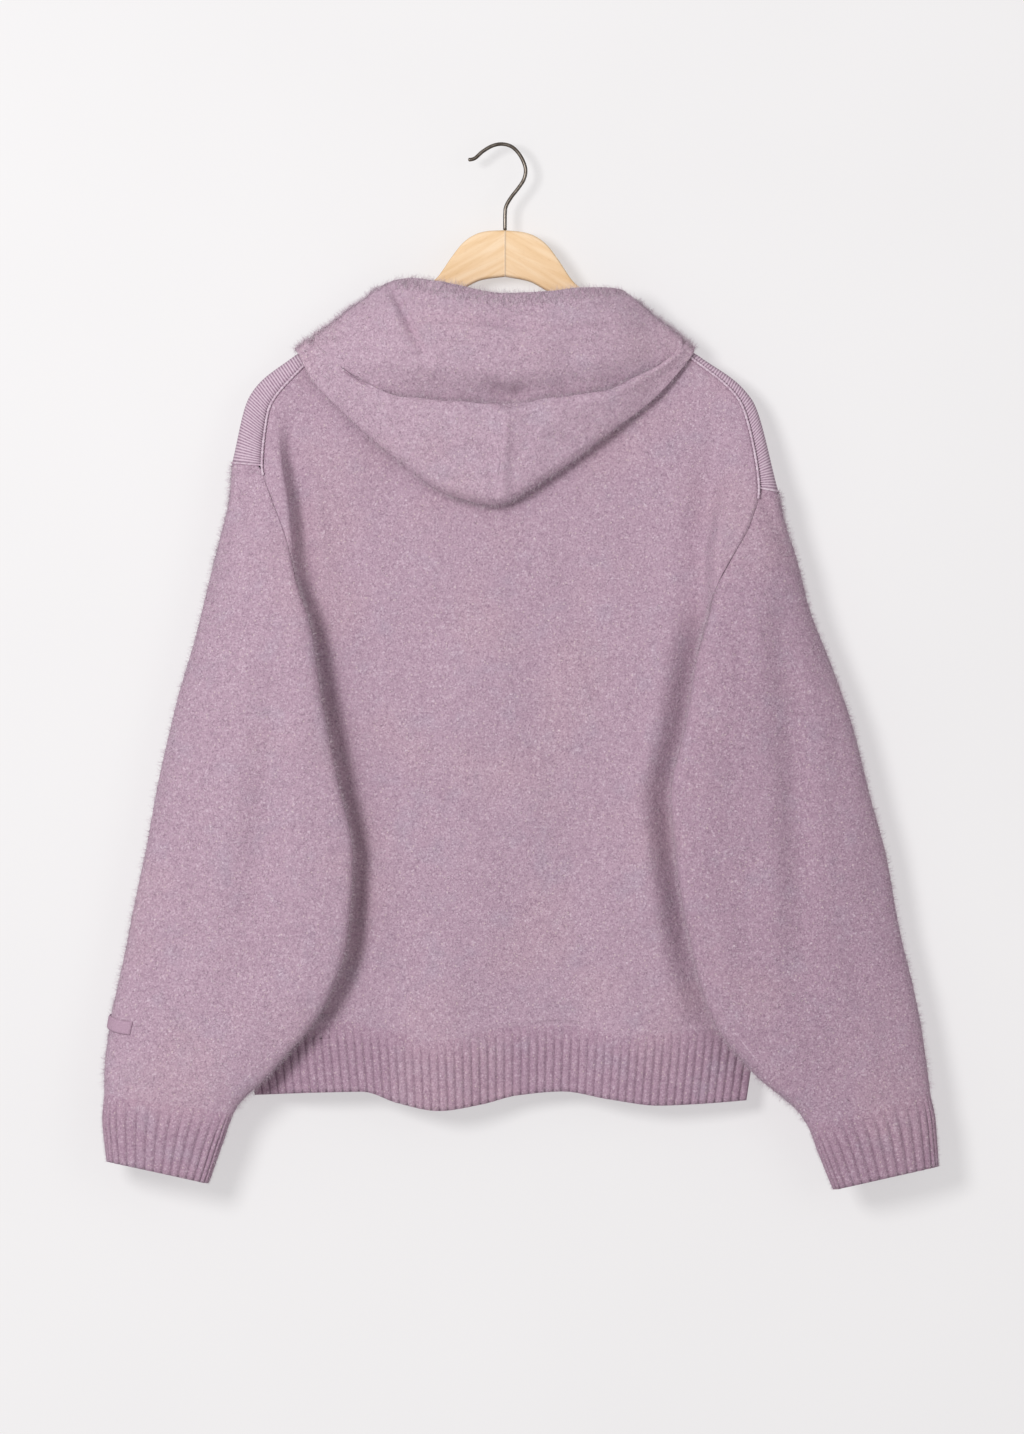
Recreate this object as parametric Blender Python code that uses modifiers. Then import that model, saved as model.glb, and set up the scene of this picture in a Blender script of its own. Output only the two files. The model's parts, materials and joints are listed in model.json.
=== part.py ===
"""Wool hoodie on its flat wooden hanger, made from the pieces a maker cuts and sews.

The origin is the underside of the hook's crown, where it bears on a pin.  +X points
to the right of someone who faces the back of the garment, +Z points up, and the back
of the garment faces -Y.  Sizes and tables are in millimetres.
"""
import math

import bmesh
import bpy
import numpy as np

# ---------------------------------------------------------------- driving sizes (mm)
MM = 0.001
CLOTH = 2.6             # brushed knit wall
FINE_KNIT = 2.0         # shoulder saddles
RIB_WALL = 2.4          # ribbed bands, without the ribs
RIB_HEIGHT = 1.3        # how far a rib stands out
RIB_PITCH = 6.7         # rib to rib
SEAM_GAP = 0.3          # between two pieces along a seam
BODY_DEPTH = 10.0       # middle plane of the hanger to the outside of the back
FRONT_DEPTH = 10.4      # and to the outside of the front
WOOD = 12.0             # hanger board
WOOD_EDGE = 2.6         # rounding of the board's edges
MITRE_X = 1.6           # joint of the two arms, under the hook's stem
WIRE = 3.0              # hook wire diameter
LABEL_CLOTH = 0.8
ARCH = 0.62             # how square the saddle's arch is: 1 is an ellipse
FADE = 75.0             # how far below the armhole the sleeve's face takes its own form
FADE_BEHIND = 36.0      # and its hidden rear
FRONT_EDGE = -0.42      # share of the girth where the saddle's front seam joins the sleeve
REST_GAP = 0.3          # the cloth behind the crest sits this far off the back's plane
CHEST_FALL = 2.0        # how far the back swells out below the shoulders
HEM_TAPER = 0.955       # the ribbed hem's lower edge, as a share of its seam's width
FRONT_HEM_LIFT = 1.5    # the front of the hem hangs this much shorter
RIB_START = 0.35        # a rib's height at the seam, as a share of its full height

WOOL = (0.480, 0.330, 0.420)
FINE_WOOL = (0.500, 0.350, 0.440)
RIB_WOOL = (0.410, 0.280, 0.350)
BEECH = (0.860, 0.620, 0.390)
STEEL = (0.110, 0.105, 0.110)

# ---------------------------------------------------------------- tables (mm)
# Stations down each side of the body.  edge: the back panel's edge, which is the
# saddle seam, then the armhole, then the side seam.  crest and groove: the cloth
# that lies over the sleeve head, and the valley beside it.  front: the front
# panel's edge at the same station.  girth: share of the sleeve's girth at which
# this point of the armhole joins the sleeve.
BODY_COLUMNS = ("z", "edge_x", "edge_y", "crest_x", "crest_y", "groove_x", "groove_y",
                "front_x", "front_y", "front_z", "girth", "rows")
BODY_LEFT = (
    (-131, -84, -9.4, -70, -9.7, -55, -10.0, -84, 9.4, -131, 0.0, 3),
    (-178, -161, -9.4, -149, -10.0, -134, -10.2, -161, 9.4, -178, 0.0, 3),
    (-215, -188, -12, -180, -12.5, -168, -10.8, -190, 9.8, -215, 0.0, 2),
    (-256, -192, -25, -177, -27, -166, -12, -201, 9.6, -256, 0.40, 2),
    (-283, -184, -31, -173, -31, -162, -12.5, -199, 9.6, -290, 0.29, 2),
    (-312, -173, -34, -169.5, -32, -160, -13, -198, 8.6, -325, 0.16, 1),
    (-333, -167, -32, -166, -27, -158, -13.5, -197, 7.0, -350, 0.05, 2),
    (-352, -165, -17, -163, -15.5, -156, -13.5, -195.5, 5, -370, -0.04, 1),
    (-372, -176, -10, -170, -11, -156, -13, -194, 3.6, -384, -0.13, 1),
    (-395, -193, -3, -180, -6.5, -152, -11.5, -193, 2.4, -395, -0.24, 3),
    (-475, -206, -2.8, -188, -7, -148, -11, -206, 2.4, -475, 0.0, 3),
    (-590, -222, -2.8, -200, -7, -150, -11, -222, 2.4, -590, 0.0, 4),
    (-697, -208, -2.8, -190, -7, -150, -13, -208, 2.4, -697, 0.0, 0),
)
BODY_RIGHT = (
    (-134, 84, -9.4, 70, -9.7, 55, -10.0, 84, 9.4, -134, 0.0, 3),
    (-172, 153, -9.4, 141, -10.0, 126, -10.2, 153, 9.4, -172, 0.0, 3),
    (-211, 192, -12, 182, -12.0, 167, -10.8, 194, 9.8, -211, 0.0, 2),
    (-274, 204, -24, 184, -24, 163, -11.5, 209, 9.6, -276, 0.40, 2),
    (-300, 198, -30, 176, -30, 160, -12, 204, 9.6, -305, 0.29, 2),
    (-330, 182, -34, 171, -32, 158, -13, 199, 8.6, -338, 0.16, 1),
    (-356, 168, -32, 166, -27, 156, -13.5, 196, 7.0, -364, 0.05, 2),
    (-374, 164, -17, 162, -15.5, 154, -13.5, 194.5, 5, -384, -0.04, 1),
    (-392, 175, -10, 169, -11, 154, -13, 193, 3.6, -400, -0.13, 1),
    (-412, 192, -3, 179, -6.5, 151, -11.5, 192, 2.4, -412, -0.24, 3),
    (-485, 204, -2.8, 187, -7, 147, -11, 204, 2.4, -485, 0.0, 3),
    (-595, 220, -2.8, 198, -7, 149, -11, 220, 2.4, -595, 0.0, 4),
    (-702, 204, -2.8, 188, -7, 150, -12, 204, 2.4, -702, 0.0, 0),
)
NECK_SAG_BACK = 5.0     # the back neckline's dip at the centre
NECK_DROP_FRONT = 72.0  # the front neckline's dip at the centre
NECK_ROWS = 4.0         # rows over which the back neckline's dip fades
FALL_ROWS = 12.0        # rows over which the swelling below the shoulders builds up
FRONT_COLUMNS = 14
MIDDLE_KEYS = 5         # places across the middle where the cloth's depth is set
MIDDLE_STEPS = 2        # columns between two of them

# The saddle's ridge over the shoulder: mesh row from the neck, then x, y, z.
RIDGE_LEFT = ((0, -88, 0, -124.2), (2, -141, 0, -154.4), (3, -167, 0, -168.2),
              (6, -203, -2, -201), (8, -216.4, -8, -254))
RIDGE_RIGHT = ((0, 88, 0, -127), (2, 134, 0, -154.8), (3, 157, 0, -168.4),
               (6, 199, -2, -203), (8, 220.0, -8, -277))

# The ribbed hem: where its seam and its lower edge run, and how far a flute of the
# cloth swings out (towards the viewer is positive).
HEM_COLUMNS = ("x", "seam_z", "edge_z", "flute")
HEM = (
    (-210, -697, -759, 0.0),
    (-150, -694, -756.5, -4.0),
    (-118, -697, -756, -4.5),
    (-88, -704, -765, 1.0),
    (-54, -711, -771, 6.5),
    (-18, -704, -766, 2.0),
    (12, -700, -759, -3.5),
    (50, -699, -756, -5.0),
    (89, -706, -762, 1.0),
    (130, -709, -767, 5.5),
    (160, -702, -766, 2.0),
    (206, -702, -763, 0.0),
)

# The hanging sleeve as a flattened tube, from the top down.  Each line: z, its outer
# and inner edge in x, the depth of its visible face and of its rear face in y, and how
# much it leans towards the viewer inside.
SLEEVE_LEFT = (
    (-254, -216.4, -170, -27, 10.5, 0.0),
    (-283, -218.6, -166, -32, 9.5, 0.0),
    (-315, -226, -164, -37, 7.5, 0.0),
    (-347, -234, -161, -41, -4.0, 2.0),
    (-395, -246, -151, -44, -14.0, 3.0),
    (-443, -260, -144, -45, -15.5, 3.0),
    (-507, -275, -131, -44, -14.5, 2.0),
    (-571, -287, -119, -43, -14.5, 2.0),
    (-635, -299, -124, -42, -14.5, 2.0),
    (-675, -308, -137, -42, -14.5, 2.0),
    (-699, -313.4, -150, -41, -14.5, 2.0),
    (-738, -318, -182, -39, -13.5, 1.0),
    (-768, -318, -212, -37, -12.5, 0.0),
    (-830, -312, -237, -36, -12.5, 0.0),
)
SLEEVE_RIGHT = (
    (-276, 220, 175, -29, 10.5, 0.0),
    (-300, 225, 168, -33, 9.5, 0.0),
    (-330, 234.5, 165, -37, 7.5, 0.0),
    (-365, 243, 160, -42, -4.0, 2.0),
    (-412, 261, 153, -44, -14.0, 3.0),
    (-460, 277, 146, -45, -15.5, 3.0),
    (-520, 293, 133.5, -44, -14.5, 2.0),
    (-571, 307, 138, -43, -14.5, 2.0),
    (-635, 319, 149, -42, -14.5, 2.0),
    (-675, 328, 159, -42, -14.5, 2.0),
    (-707, 334, 172, -41, -14.5, 2.0),
    (-742, 339, 202, -39, -13.5, 1.0),
    (-775, 343, 238, -37, -12.5, 0.0),
    (-834, 347, 265, -36, -12.5, 0.0),
)
EDGE_ROUND = 8.0        # least radius of a sleeve's folded edges
SLEEVE_ROWS = 17
# Heights of the cuff: its seam at the sleeve's outer and inner edge, then its lower
# edge at both.
SEAM_LEVEL = 0
EDGE_LEVEL = 2
CUFF_LEFT = (-754, -769, -811, -828)
CUFF_RIGHT = (-753, -780, -815, -833)

# The hood lies open down the back.  Each station is a section from the neck seam,
# down inside to the lowest fold, and up the visible side to the face edge.  neck,
# edge, fold and top are the points that it passes, on the cloth that it lies on.
# crest and valley: depths on both sides of the deep fold across the back.
HOOD_COLUMNS = ("neck_x", "neck_z", "edge_x", "edge_z", "fold_x", "fold_z", "top_x", "top_z",
                "crest", "valley")
HOOD_LEFT = (
    (0, -138, 0, -286.5, 0, -209, 0, -119.5, 28, 15),
    (-40, -137, -44, -282, -40, -207, -34, -113.5, 27, 15),
    (-68, -134, -92, -246, -80, -202.5, -54, -109.5, 24, 15),
    (-82, -131, -128, -214, -114, -189, -67, -109, 18, 15),
    (-86, -128.5, -151, -191, -138, -171, -78, -112, 13, 13),
    (-88, -125.4, -161, -168.5, -147, -161, -80, -117, 10.6, 10.6),
    (-88, -124.2, -163, -165.9, -147, -157.5, -79, -118.5, 9.0, 9.0),
    (-88, -125.4, -160, -168, -145, -160, -80, -120.5, 10.6, 10.6),
    (-80, -140, -128, -187, -116, -176, -79, -133, 10.5, 10.5),
    (-62, -160, -86, -206, -80, -190, -66, -152, 10.5, 10.5),
    (0, -203, 0, -232, 0, -216, 0, -192, 9.5, 9.5),
)
HOOD_RIGHT = (
    (0, -138, 0, -286.5, 0, -209, 0, -119.5, 28, 15),
    (40, -138, 40, -266, 40, -204.5, 36, -118, 27, 15),
    (68, -136, 84, -231, 80, -198.5, 61, -115, 25, 14),
    (82, -134, 121, -203, 108, -186, 76, -115.5, 19, 14),
    (86, -131.5, 139, -183.5, 129, -172.5, 86, -118, 14, 12),
    (88, -128.4, 150, -168.5, 137, -161, 88, -121.5, 10.6, 10.6),
    (88, -127, 150, -164.2, 136, -156, 88, -123.5, 9.0, 9.0),
    (88, -128.4, 148, -168, 135, -161, 86, -126, 10.6, 10.6),
    (80, -143, 122, -188, 110, -178, 80, -138, 10.5, 10.5),
    (62, -162, 84, -206, 78, -190, 66, -154, 10.5, 10.5),
    (0, -203, 0, -232, 0, -216, 0, -192, 9.5, 9.5),
)
# Depths of the same sections, out from the cloth below.  under: where that cloth
# is.  turn: which way is out, from the back (0) over the shoulder (90) to the
# front (180).  tuck: how far the cloth behind the fold's crest dips below it.
# cloth: the wall, which is pressed thinner where it is folded tightly.
HOOD_DEPTH_COLUMNS = ("under", "turn", "neck", "inner", "edge", "lobe", "roll", "top",
                      "tuck", "columns", "cloth")
HOOD_DEPTHS = (
    (-10.0, 0, 0.6, 4.0, 13, 25, 37, 26, 5.0, 3, 2.2),
    (-10.0, 0, 0.6, 4.0, 12.5, 24, 37, 26, 5.0, 2, 2.2),
    (-10.0, 0, 0.6, 4.0, 12, 21, 34, 24, 4.0, 2, 2.2),
    (-10.0, 8, 0.8, 4.0, 10, 17, 27, 17, 2.0, 2, 2.0),
    (-10.0, 25, 1.2, 3.6, 8, 12.5, 16, 12, 0.5, 1, 1.7),
    (-9.8, 50, 2.0, 3.4, 7.0, 10.6, 11, 10, 0.0, 2, 1.4),
    (0.0, 90, 1.2, 1.8, 5.4, 9.0, 9.2, 8.2, 0.0, 2, 1.4),
    (10.2, 130, 2.0, 3.4, 7.0, 10.6, 11, 10, 0.0, 1, 1.4),
    (10.6, 170, 1.2, 2.8, 6.6, 10.5, 11, 10, 0.0, 2, 1.7),
    (10.6, 180, 1.0, 2.6, 6.5, 10.5, 11, 10, 0.0, 3, 2.0),
    (10.6, 180, 0.8, 2.4, 6.0, 9.5, 10, 9, 0.0, 0, 2.0),
)
TUCK = HOOD_DEPTH_COLUMNS.index("tuck")
EDGE_LEAD = 9.0         # where the hood's wall starts to turn into its lowest fold
EDGE_TAIL = 7.0         # and where the turn ends
HOOD_STEPS = (2, 2, 1, 1, 2, 1, 1, 1, 1, 2, 2, 2)   # rows between the points of a section

# Outline of each wooden arm, from the mitre round its end and back, x outwards.
ARM_TOP = ((0, -67.6), (12, -68.0), (20, -69.5), (27, -72.6), (34, -78.0), (42, -88.0), (56, -107.0))
ARM_END = ((150, -164.5), (180, -183), (187, -189), (188, -195), (185, -202), (178, -204.5))
ARM_BELOW = ((168, -199), (90, -149), (50, -123.5), (33, -114), (18, -107), (0, -104.5))
ARM_DROP_RIGHT = 0.052  # the hanger hangs a little lower at the right

# The hook's wire in x and z: from its tip over the crown, then down into the mitre.
HOOK = (
    (-28, -11.2), (-22.5, -9.8), (-16, -4.2), (-8, 0.3), (0, 1.5), (8, -1.2), (14.4, -8.6),
    (18.0, -18), (17.0, -26), (12.8, -33), (6.6, -41), (2.6, -48), (1.7, -54), (1.6, -68.1),
)
HOOK_POINTS = 36

# The tab round the left sleeve's outer edge.
LABEL_Z = (-693.2, -703.5)
LABEL_GIRTH = (0.374, 0.535)
LABEL_TILT = -6.5


# ---------------------------------------------------------------- helpers
def smooth(knots, values, at):
    """Cubic through values at knots whose slopes are harmonic means: it never overshoots."""
    knots = np.asarray(knots, float)
    values = np.asarray(values, float)
    flat = values.ndim == 1
    if flat:
        values = values[:, None]
    step = np.diff(knots)[:, None]
    rise = np.diff(values, axis=0) / step
    product = rise[:-1] * rise[1:]
    total = rise[:-1] + rise[1:]
    inner = np.where(product > 0, 2 * product / np.where(total == 0, 1, total), 0.0)
    slope = np.vstack([rise[:1], inner, rise[-1:]])
    at = np.clip(np.atleast_1d(np.asarray(at, float)), knots[0], knots[-1])
    i = np.clip(np.searchsorted(knots, at, side="right") - 1, 0, len(knots) - 2)
    h = step[i]
    t = ((at - knots[i])[:, None]) / h
    out = (values[i] * (1 + 2 * t) * (1 - t) ** 2 + slope[i] * h * t * (1 - t) ** 2
           + values[i + 1] * t * t * (3 - 2 * t) + slope[i + 1] * h * t * t * (t - 1))
    return out[:, 0] if flat else out


def stations_to_rows(table, columns, counts):
    """Spread a table of stations over mesh rows, so many rows after each station."""
    at = [0.0]
    for station, count in enumerate(counts[:-1]):
        at.extend(station + (k + 1) / count for k in range(count))
    values = smooth(range(len(table)), np.array(table, float)[:, :columns], at)
    return values, np.cumsum([0] + list(counts[:-1]))


def along(points, counts):
    """A smooth line through key points, with so many equal steps between each two."""
    points = np.asarray(points, float)
    length = np.concatenate([[0], np.cumsum(np.linalg.norm(np.diff(points, axis=0), axis=1))])
    at = [0.0]
    for key, count in enumerate(counts):
        at.extend(length[key] + (length[key + 1] - length[key]) * (k + 1) / count
                  for k in range(count))
    return smooth(length, points, at)


def normals(grid, ring=False):
    """Unit normals of a grid of points (rows x columns), from its neighbours."""
    down = np.gradient(grid, axis=0)
    if ring:
        across = (np.roll(grid, -1, axis=1) - np.roll(grid, 1, axis=1)) / 2
    else:
        across = np.gradient(grid, axis=1)
    normal = np.cross(down, across)
    return normal / np.linalg.norm(normal, axis=2, keepdims=True)


def level(directions):
    """Turn directions into the horizontal, so that two rims along a seam stay parallel."""
    flat = directions * (1.0, 1.0, 0.0)
    return flat / np.linalg.norm(flat, axis=-1, keepdims=True)


def facing(own, neighbour):
    """The neighbour's direction along a seam, where the two face nearly the same way."""
    near = (own * neighbour).sum(axis=-1, keepdims=True) > 0.3
    return np.where(near, neighbour, own)


def trimmed(grid, top=0.0, bottom=0.0, left=0.0, right=0.0):
    """Pull chosen edges of a grid back along its surface, by so many millimetres."""
    grid = grid.copy()

    def pull(edge, beside, amount):
        way = beside - edge
        return edge + way / np.linalg.norm(way, axis=-1, keepdims=True) * amount

    if top:
        grid[0] = pull(grid[0], grid[1], top)
    if bottom:
        grid[-1] = pull(grid[-1], grid[-2], bottom)
    if left:
        grid[:, 0] = pull(grid[:, 0], grid[:, 1], left)
    if right:
        grid[:, -1] = pull(grid[:, -1], grid[:, -2], right)
    return grid


def material(name, colour, roughness, metallic=0.0):
    """A plain material of the piece's own colour."""
    made = bpy.data.materials.new(name)
    made.use_nodes = True
    shader = made.node_tree.nodes["Principled BSDF"]
    shader.inputs["Base Color"].default_value = (*colour, 1.0)
    shader.inputs["Roughness"].default_value = roughness
    shader.inputs["Metallic"].default_value = metallic
    return made


def finish(name, mesh, colour, roughness, metallic=0.0):
    """Link a mesh to the hoodie's collection, smooth, with its own material."""
    piece = bpy.data.objects.new(name, mesh)
    mesh.materials.append(material(name + "_material", colour, roughness, metallic))
    mesh.shade_smooth()
    collection.objects.link(piece)
    return piece


def wall(name, outer, inner, colour, ring=False, roughness=0.95):
    """A closed wall between an outer and an inner grid of points, with its rims."""
    rows, columns = outer.shape[:2]
    count = rows * columns
    points = np.vstack([outer.reshape(-1, 3), inner.reshape(-1, 3)]) * MM
    spans = columns if ring else columns - 1
    faces = []

    def quad(row, column, layer, reverse):
        beside = (column + 1) % columns
        corners = [layer + row * columns + column, layer + row * columns + beside,
                   layer + (row + 1) * columns + beside, layer + (row + 1) * columns + column]
        return corners[::-1] if reverse else corners

    for row in range(rows - 1):
        for column in range(spans):
            faces.append(quad(row, column, 0, False))
            faces.append(quad(row, column, count, True))
    for column in range(spans):
        beside = (column + 1) % columns
        last = (rows - 1) * columns
        faces.append([column, count + column, count + beside, beside])
        faces.append([last + column, last + beside, count + last + beside, count + last + column])
    if not ring:
        for row in range(rows - 1):
            near = row * columns
            far = near + columns - 1
            faces.append([near, near + columns, count + near + columns, count + near])
            faces.append([far, count + far, count + far + columns, far + columns])
    mesh = bpy.data.meshes.new(name)
    mesh.from_pydata(points.tolist(), [], faces)
    work = bmesh.new()
    work.from_mesh(mesh)
    bmesh.ops.recalc_face_normals(work, faces=work.faces)
    work.to_mesh(mesh)
    work.free()
    return finish(name, mesh, colour, roughness)


# ---------------------------------------------------------------- body
def hem_at(x, column):
    """A column of the hem table, smoothly, at any x."""
    table = np.array(HEM, float)
    return smooth(table[:, 0], table[:, HEM_COLUMNS.index(column)], x)


LEFT_ROWS, LEFT_STARTS = stations_to_rows(BODY_LEFT, 11, [r[11] for r in BODY_LEFT])
RIGHT_ROWS, RIGHT_STARTS = stations_to_rows(BODY_RIGHT, 11, [r[11] for r in BODY_RIGHT])
ROWS = len(LEFT_ROWS)
SADDLE_END = LEFT_STARTS[3]
UNDERARM = LEFT_STARTS[9]


def hem_share(row):
    """How far a row follows the hem's wave: not at all in the chest, wholly at the rib."""
    return max(0.0, (row - LEFT_STARTS[10]) / (ROWS - 1 - LEFT_STARTS[10])) ** 1.5


def back_row(row):
    """One row of the back panel, from its left edge to its right edge."""
    left = dict(zip(BODY_COLUMNS, LEFT_ROWS[row]))
    right = dict(zip(BODY_COLUMNS, RIGHT_ROWS[row]))
    share = hem_share(row)
    neck = max(0.0, 1 - row / NECK_ROWS)

    def height(x):
        across = (x - left["edge_x"]) / (right["edge_x"] - left["edge_x"])
        straight = left["z"] + (right["z"] - left["z"]) * across
        sag = NECK_SAG_BACK * neck * 4 * across * (1 - across)
        return (1 - share) * (straight - sag) + share * hem_at(x, "seam_z")[0]

    keys = [(left["edge_x"], left["edge_y"]), (left["crest_x"], left["crest_y"]),
            (left["groove_x"], left["groove_y"])]
    for k in range(MIDDLE_KEYS):
        x = left["groove_x"] + (right["groove_x"] - left["groove_x"]) * (k + 1) / (MIDDLE_KEYS + 1)
        fall = CHEST_FALL * min(1.0, max(0.0, row - LEFT_STARTS[2]) / FALL_ROWS)
        keys.append((x, -(BODY_DEPTH + REST_GAP + fall) - share * hem_at(x, "flute")[0]))
    keys += [(right["groove_x"], right["groove_y"]), (right["crest_x"], right["crest_y"]),
             (right["edge_x"], right["edge_y"])]
    counts = [2, 3] + [MIDDLE_STEPS] * (MIDDLE_KEYS + 1) + [3, 2]
    return along([(x, y, height(x)) for x, y in keys], counts)


def front_row(row):
    """One row of the plain front panel, from its left edge to its right edge."""
    left = dict(zip(BODY_COLUMNS, LEFT_ROWS[row]))
    right = dict(zip(BODY_COLUMNS, RIGHT_ROWS[row]))
    share = hem_share(row)
    neck = max(0.0, 1 - row / (UNDERARM - 1.0)) ** 1.5
    x = np.linspace(left["front_x"], right["front_x"], FRONT_COLUMNS)
    across = (x - x[0]) / (x[-1] - x[0])
    height = left["front_z"] + (right["front_z"] - left["front_z"]) * across
    height = height - NECK_DROP_FRONT * neck * np.sin(math.pi * across) ** 1.3
    side = left["front_y"] + (right["front_y"] - left["front_y"]) * across
    bulge = 1 - (1 - np.sin(math.pi * across)) ** 3
    depth = side + (FRONT_DEPTH - side) * bulge - share * 0.5 * hem_at(x, "flute") * bulge
    return np.stack([x, depth, (1 - share) * height + share * hem_at(x, "seam_z")], axis=1)


def back_sheet():
    """The outside of the back panel as a grid of points."""
    return np.array([back_row(row) for row in range(ROWS)])


def front_sheet():
    """The outside of the front panel as a grid of points."""
    return np.array([front_row(row) for row in range(ROWS)])


def make_body():
    """The two body panels."""
    half = SEAM_GAP / 2
    for name, sheet, out in (("body_back", BACK, BACK_OUT), ("body_front", FRONT, FRONT_OUT)):
        outer = trimmed(sheet, bottom=half, left=half, right=half)
        wall(name, outer, outer - CLOTH * out, WOOL)


def make_hem():
    """The two halves of the ribbed hem, with ribs on the outside over a plain inside."""
    for name, sheet, sign in (("hem_rib_back", BACK, 1), ("hem_rib_front", FRONT, -1)):
        seam = sheet[-1]
        ribs = int(round((seam[-1, 0] - seam[0, 0]) / RIB_PITCH))
        x = np.linspace(seam[0, 0], seam[-1, 0], 2 * ribs + 1)
        y = np.interp(x, seam[:, 0], seam[:, 1])
        top = np.interp(x, seam[:, 0], seam[:, 2]) - SEAM_GAP / 2
        low = hem_at(x, "edge_z") + (0.0 if sign > 0 else FRONT_HEM_LIFT)
        x_low = x * HEM_TAPER
        rows = []
        for share in (0.0, 0.5, 1.0):
            rows.append(np.stack([x + (x_low - x) * share, y, top + (low - top) * share], axis=1))
        base = trimmed(np.array(rows), left=SEAM_GAP / 2, right=SEAM_GAP / 2)
        out = level(sign * normals(base))
        rib = np.where(np.arange(2 * ribs + 1) % 2 == 1, RIB_HEIGHT, 0.0)[None, :, None]
        rise = np.array([RIB_START, 1.0, 1.0])[:, None, None]
        wall(name, base + out * rib * rise, base - out * RIB_WALL, RIB_WOOL)


# ---------------------------------------------------------------- saddles
def saddle_sheet(ridge_table, back_edge, front_edge):
    """The outside of a shoulder saddle: an arch from the back seam to the front seam."""
    table = np.array(ridge_table, float)
    ridge = smooth(table[:, 0], table[:, 1:], np.arange(SADDLE_END + 1))
    turn = np.linspace(0, math.pi / 2, 5)
    lift = np.sin(turn) ** ARCH
    lean = np.cos(turn) ** ARCH
    rows = []
    for r in range(SADDLE_END + 1):
        half_back = back_edge[r] + (ridge[r] - back_edge[r]) * lift[:, None]
        half_back[:, 1] = ridge[r, 1] + (back_edge[r, 1] - ridge[r, 1]) * lean
        half_front = front_edge[r] + (ridge[r] - front_edge[r]) * lift[:, None]
        half_front[:, 1] = ridge[r, 1] + (front_edge[r, 1] - ridge[r, 1]) * lean
        rows.append(np.vstack([half_back, half_front[-2::-1]]))
    return np.array(rows)


def make_saddle(name, sheet, out):
    """One fine-knit saddle."""
    half = SEAM_GAP / 2
    outer = trimmed(sheet, bottom=half, left=half, right=half)
    wall(name, outer, outer - FINE_KNIT * out, FINE_WOOL)


# ---------------------------------------------------------------- sleeves
def tube_point(table, share, z):
    """A point of the flattened sleeve: share runs once round, from the inner edge
    over the visible face, and counts both the length and the turning of the section."""
    row = smooth(-np.array(table, float)[:, 0], np.array(table, float)[:, 1:], -z)[0]
    outer, inner, face, rear, lean = row
    half = abs(inner - outer) / 2
    depth = (rear - face) / 2
    rounding = min(EDGE_ROUND, 0.6 * depth)
    core_x, core_y = half - rounding, depth - rounding
    angle = np.linspace(0, 2 * math.pi, 241)
    nx, ny = np.cos(angle) / core_x, np.sin(angle) / core_y
    size = np.hypot(nx, ny)
    px = core_x * np.cos(angle) + rounding * nx / size
    py = core_y * np.sin(angle) + rounding * ny / size
    step = np.hypot(np.diff(px), np.diff(py))
    turning = np.abs(np.diff(np.unwrap(np.arctan2(ny, nx))))
    measure = np.concatenate([[0], np.cumsum(step / step.sum() + 0.5 * turning / turning.sum())])
    share = share % 1.0
    x = np.interp(share, measure / measure[-1], px)
    y = np.interp(share, measure / measure[-1], py)
    to_body = np.sign(inner - outer)
    return np.array([(inner + outer) / 2 + to_body * x,
                     (face + rear) / 2 - y - lean * x / half, z])


def cuff_level(table, cuff, share, which):
    """Height of the cuff's seam or of its lower edge at a share of the girth."""
    lowest = cuff[which + 1]
    point = tube_point(table, share, lowest)
    row = smooth(-np.array(table, float)[:, 0], np.array(table, float)[:, 1:], -lowest)[0]
    across = (point[0] - row[0]) / (row[1] - row[0])
    return cuff[which] + (lowest - cuff[which]) * across


def armhole(saddle, back_edge, front_edge, girth):
    """The sleeve's top ring: over the saddle's end, down the back armhole, and up the
    front one, each point with its share of the sleeve's girth."""
    over = saddle[-1]
    middle = len(over) // 2
    back_corner = girth[SADDLE_END]
    ring = list(over[middle:0:-1])
    shares = list(np.linspace(0.5, back_corner, middle + 1)[:-1])
    ring += list(back_edge[SADDLE_END:UNDERARM + 1])
    shares += list(girth[SADDLE_END:UNDERARM + 1])
    front = front_edge[UNDERARM - 1:SADDLE_END:-1]
    ring += list(front)
    shares += list(np.linspace(girth[UNDERARM], FRONT_EDGE, len(front) + 2)[1:-1])
    ring += list(over[:middle:-1])
    shares += list(np.linspace(FRONT_EDGE, -0.5, middle + 1)[:-1])
    return np.array(ring), np.array(shares)


def sleeve_sheet(table, cuff, ring, shares):
    """The outside of a sleeve, from the armhole ring down to the cuff's seam."""
    rows = []
    start = np.array([tube_point(table, s, p[2]) for s, p in zip(shares, ring)])
    seam = np.array([cuff_level(table, cuff, s, SEAM_LEVEL) for s in shares])
    for down in np.linspace(0, 1, SLEEVE_ROWS + 1):
        row = []
        for k, share in enumerate(shares):
            z = ring[k, 2] + (seam[k] - ring[k, 2]) * down
            left = min(1.0, (ring[k, 2] - z) / (FADE if share > -0.02 else FADE_BEHIND))
            pull = (1 - left) ** 2 * (1 + 2 * left)
            point = tube_point(table, share, z)
            point[:2] += pull * (ring[k, :2] - start[k, :2])
            row.append(point)
        rows.append(row)
    return np.array(rows)


def make_sleeve(name, sheet, out):
    """One sleeve."""
    outer = trimmed(sheet, top=SEAM_GAP / 2, bottom=SEAM_GAP / 2)
    wall(name, outer, outer - CLOTH * out, WOOL, ring=True)


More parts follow.
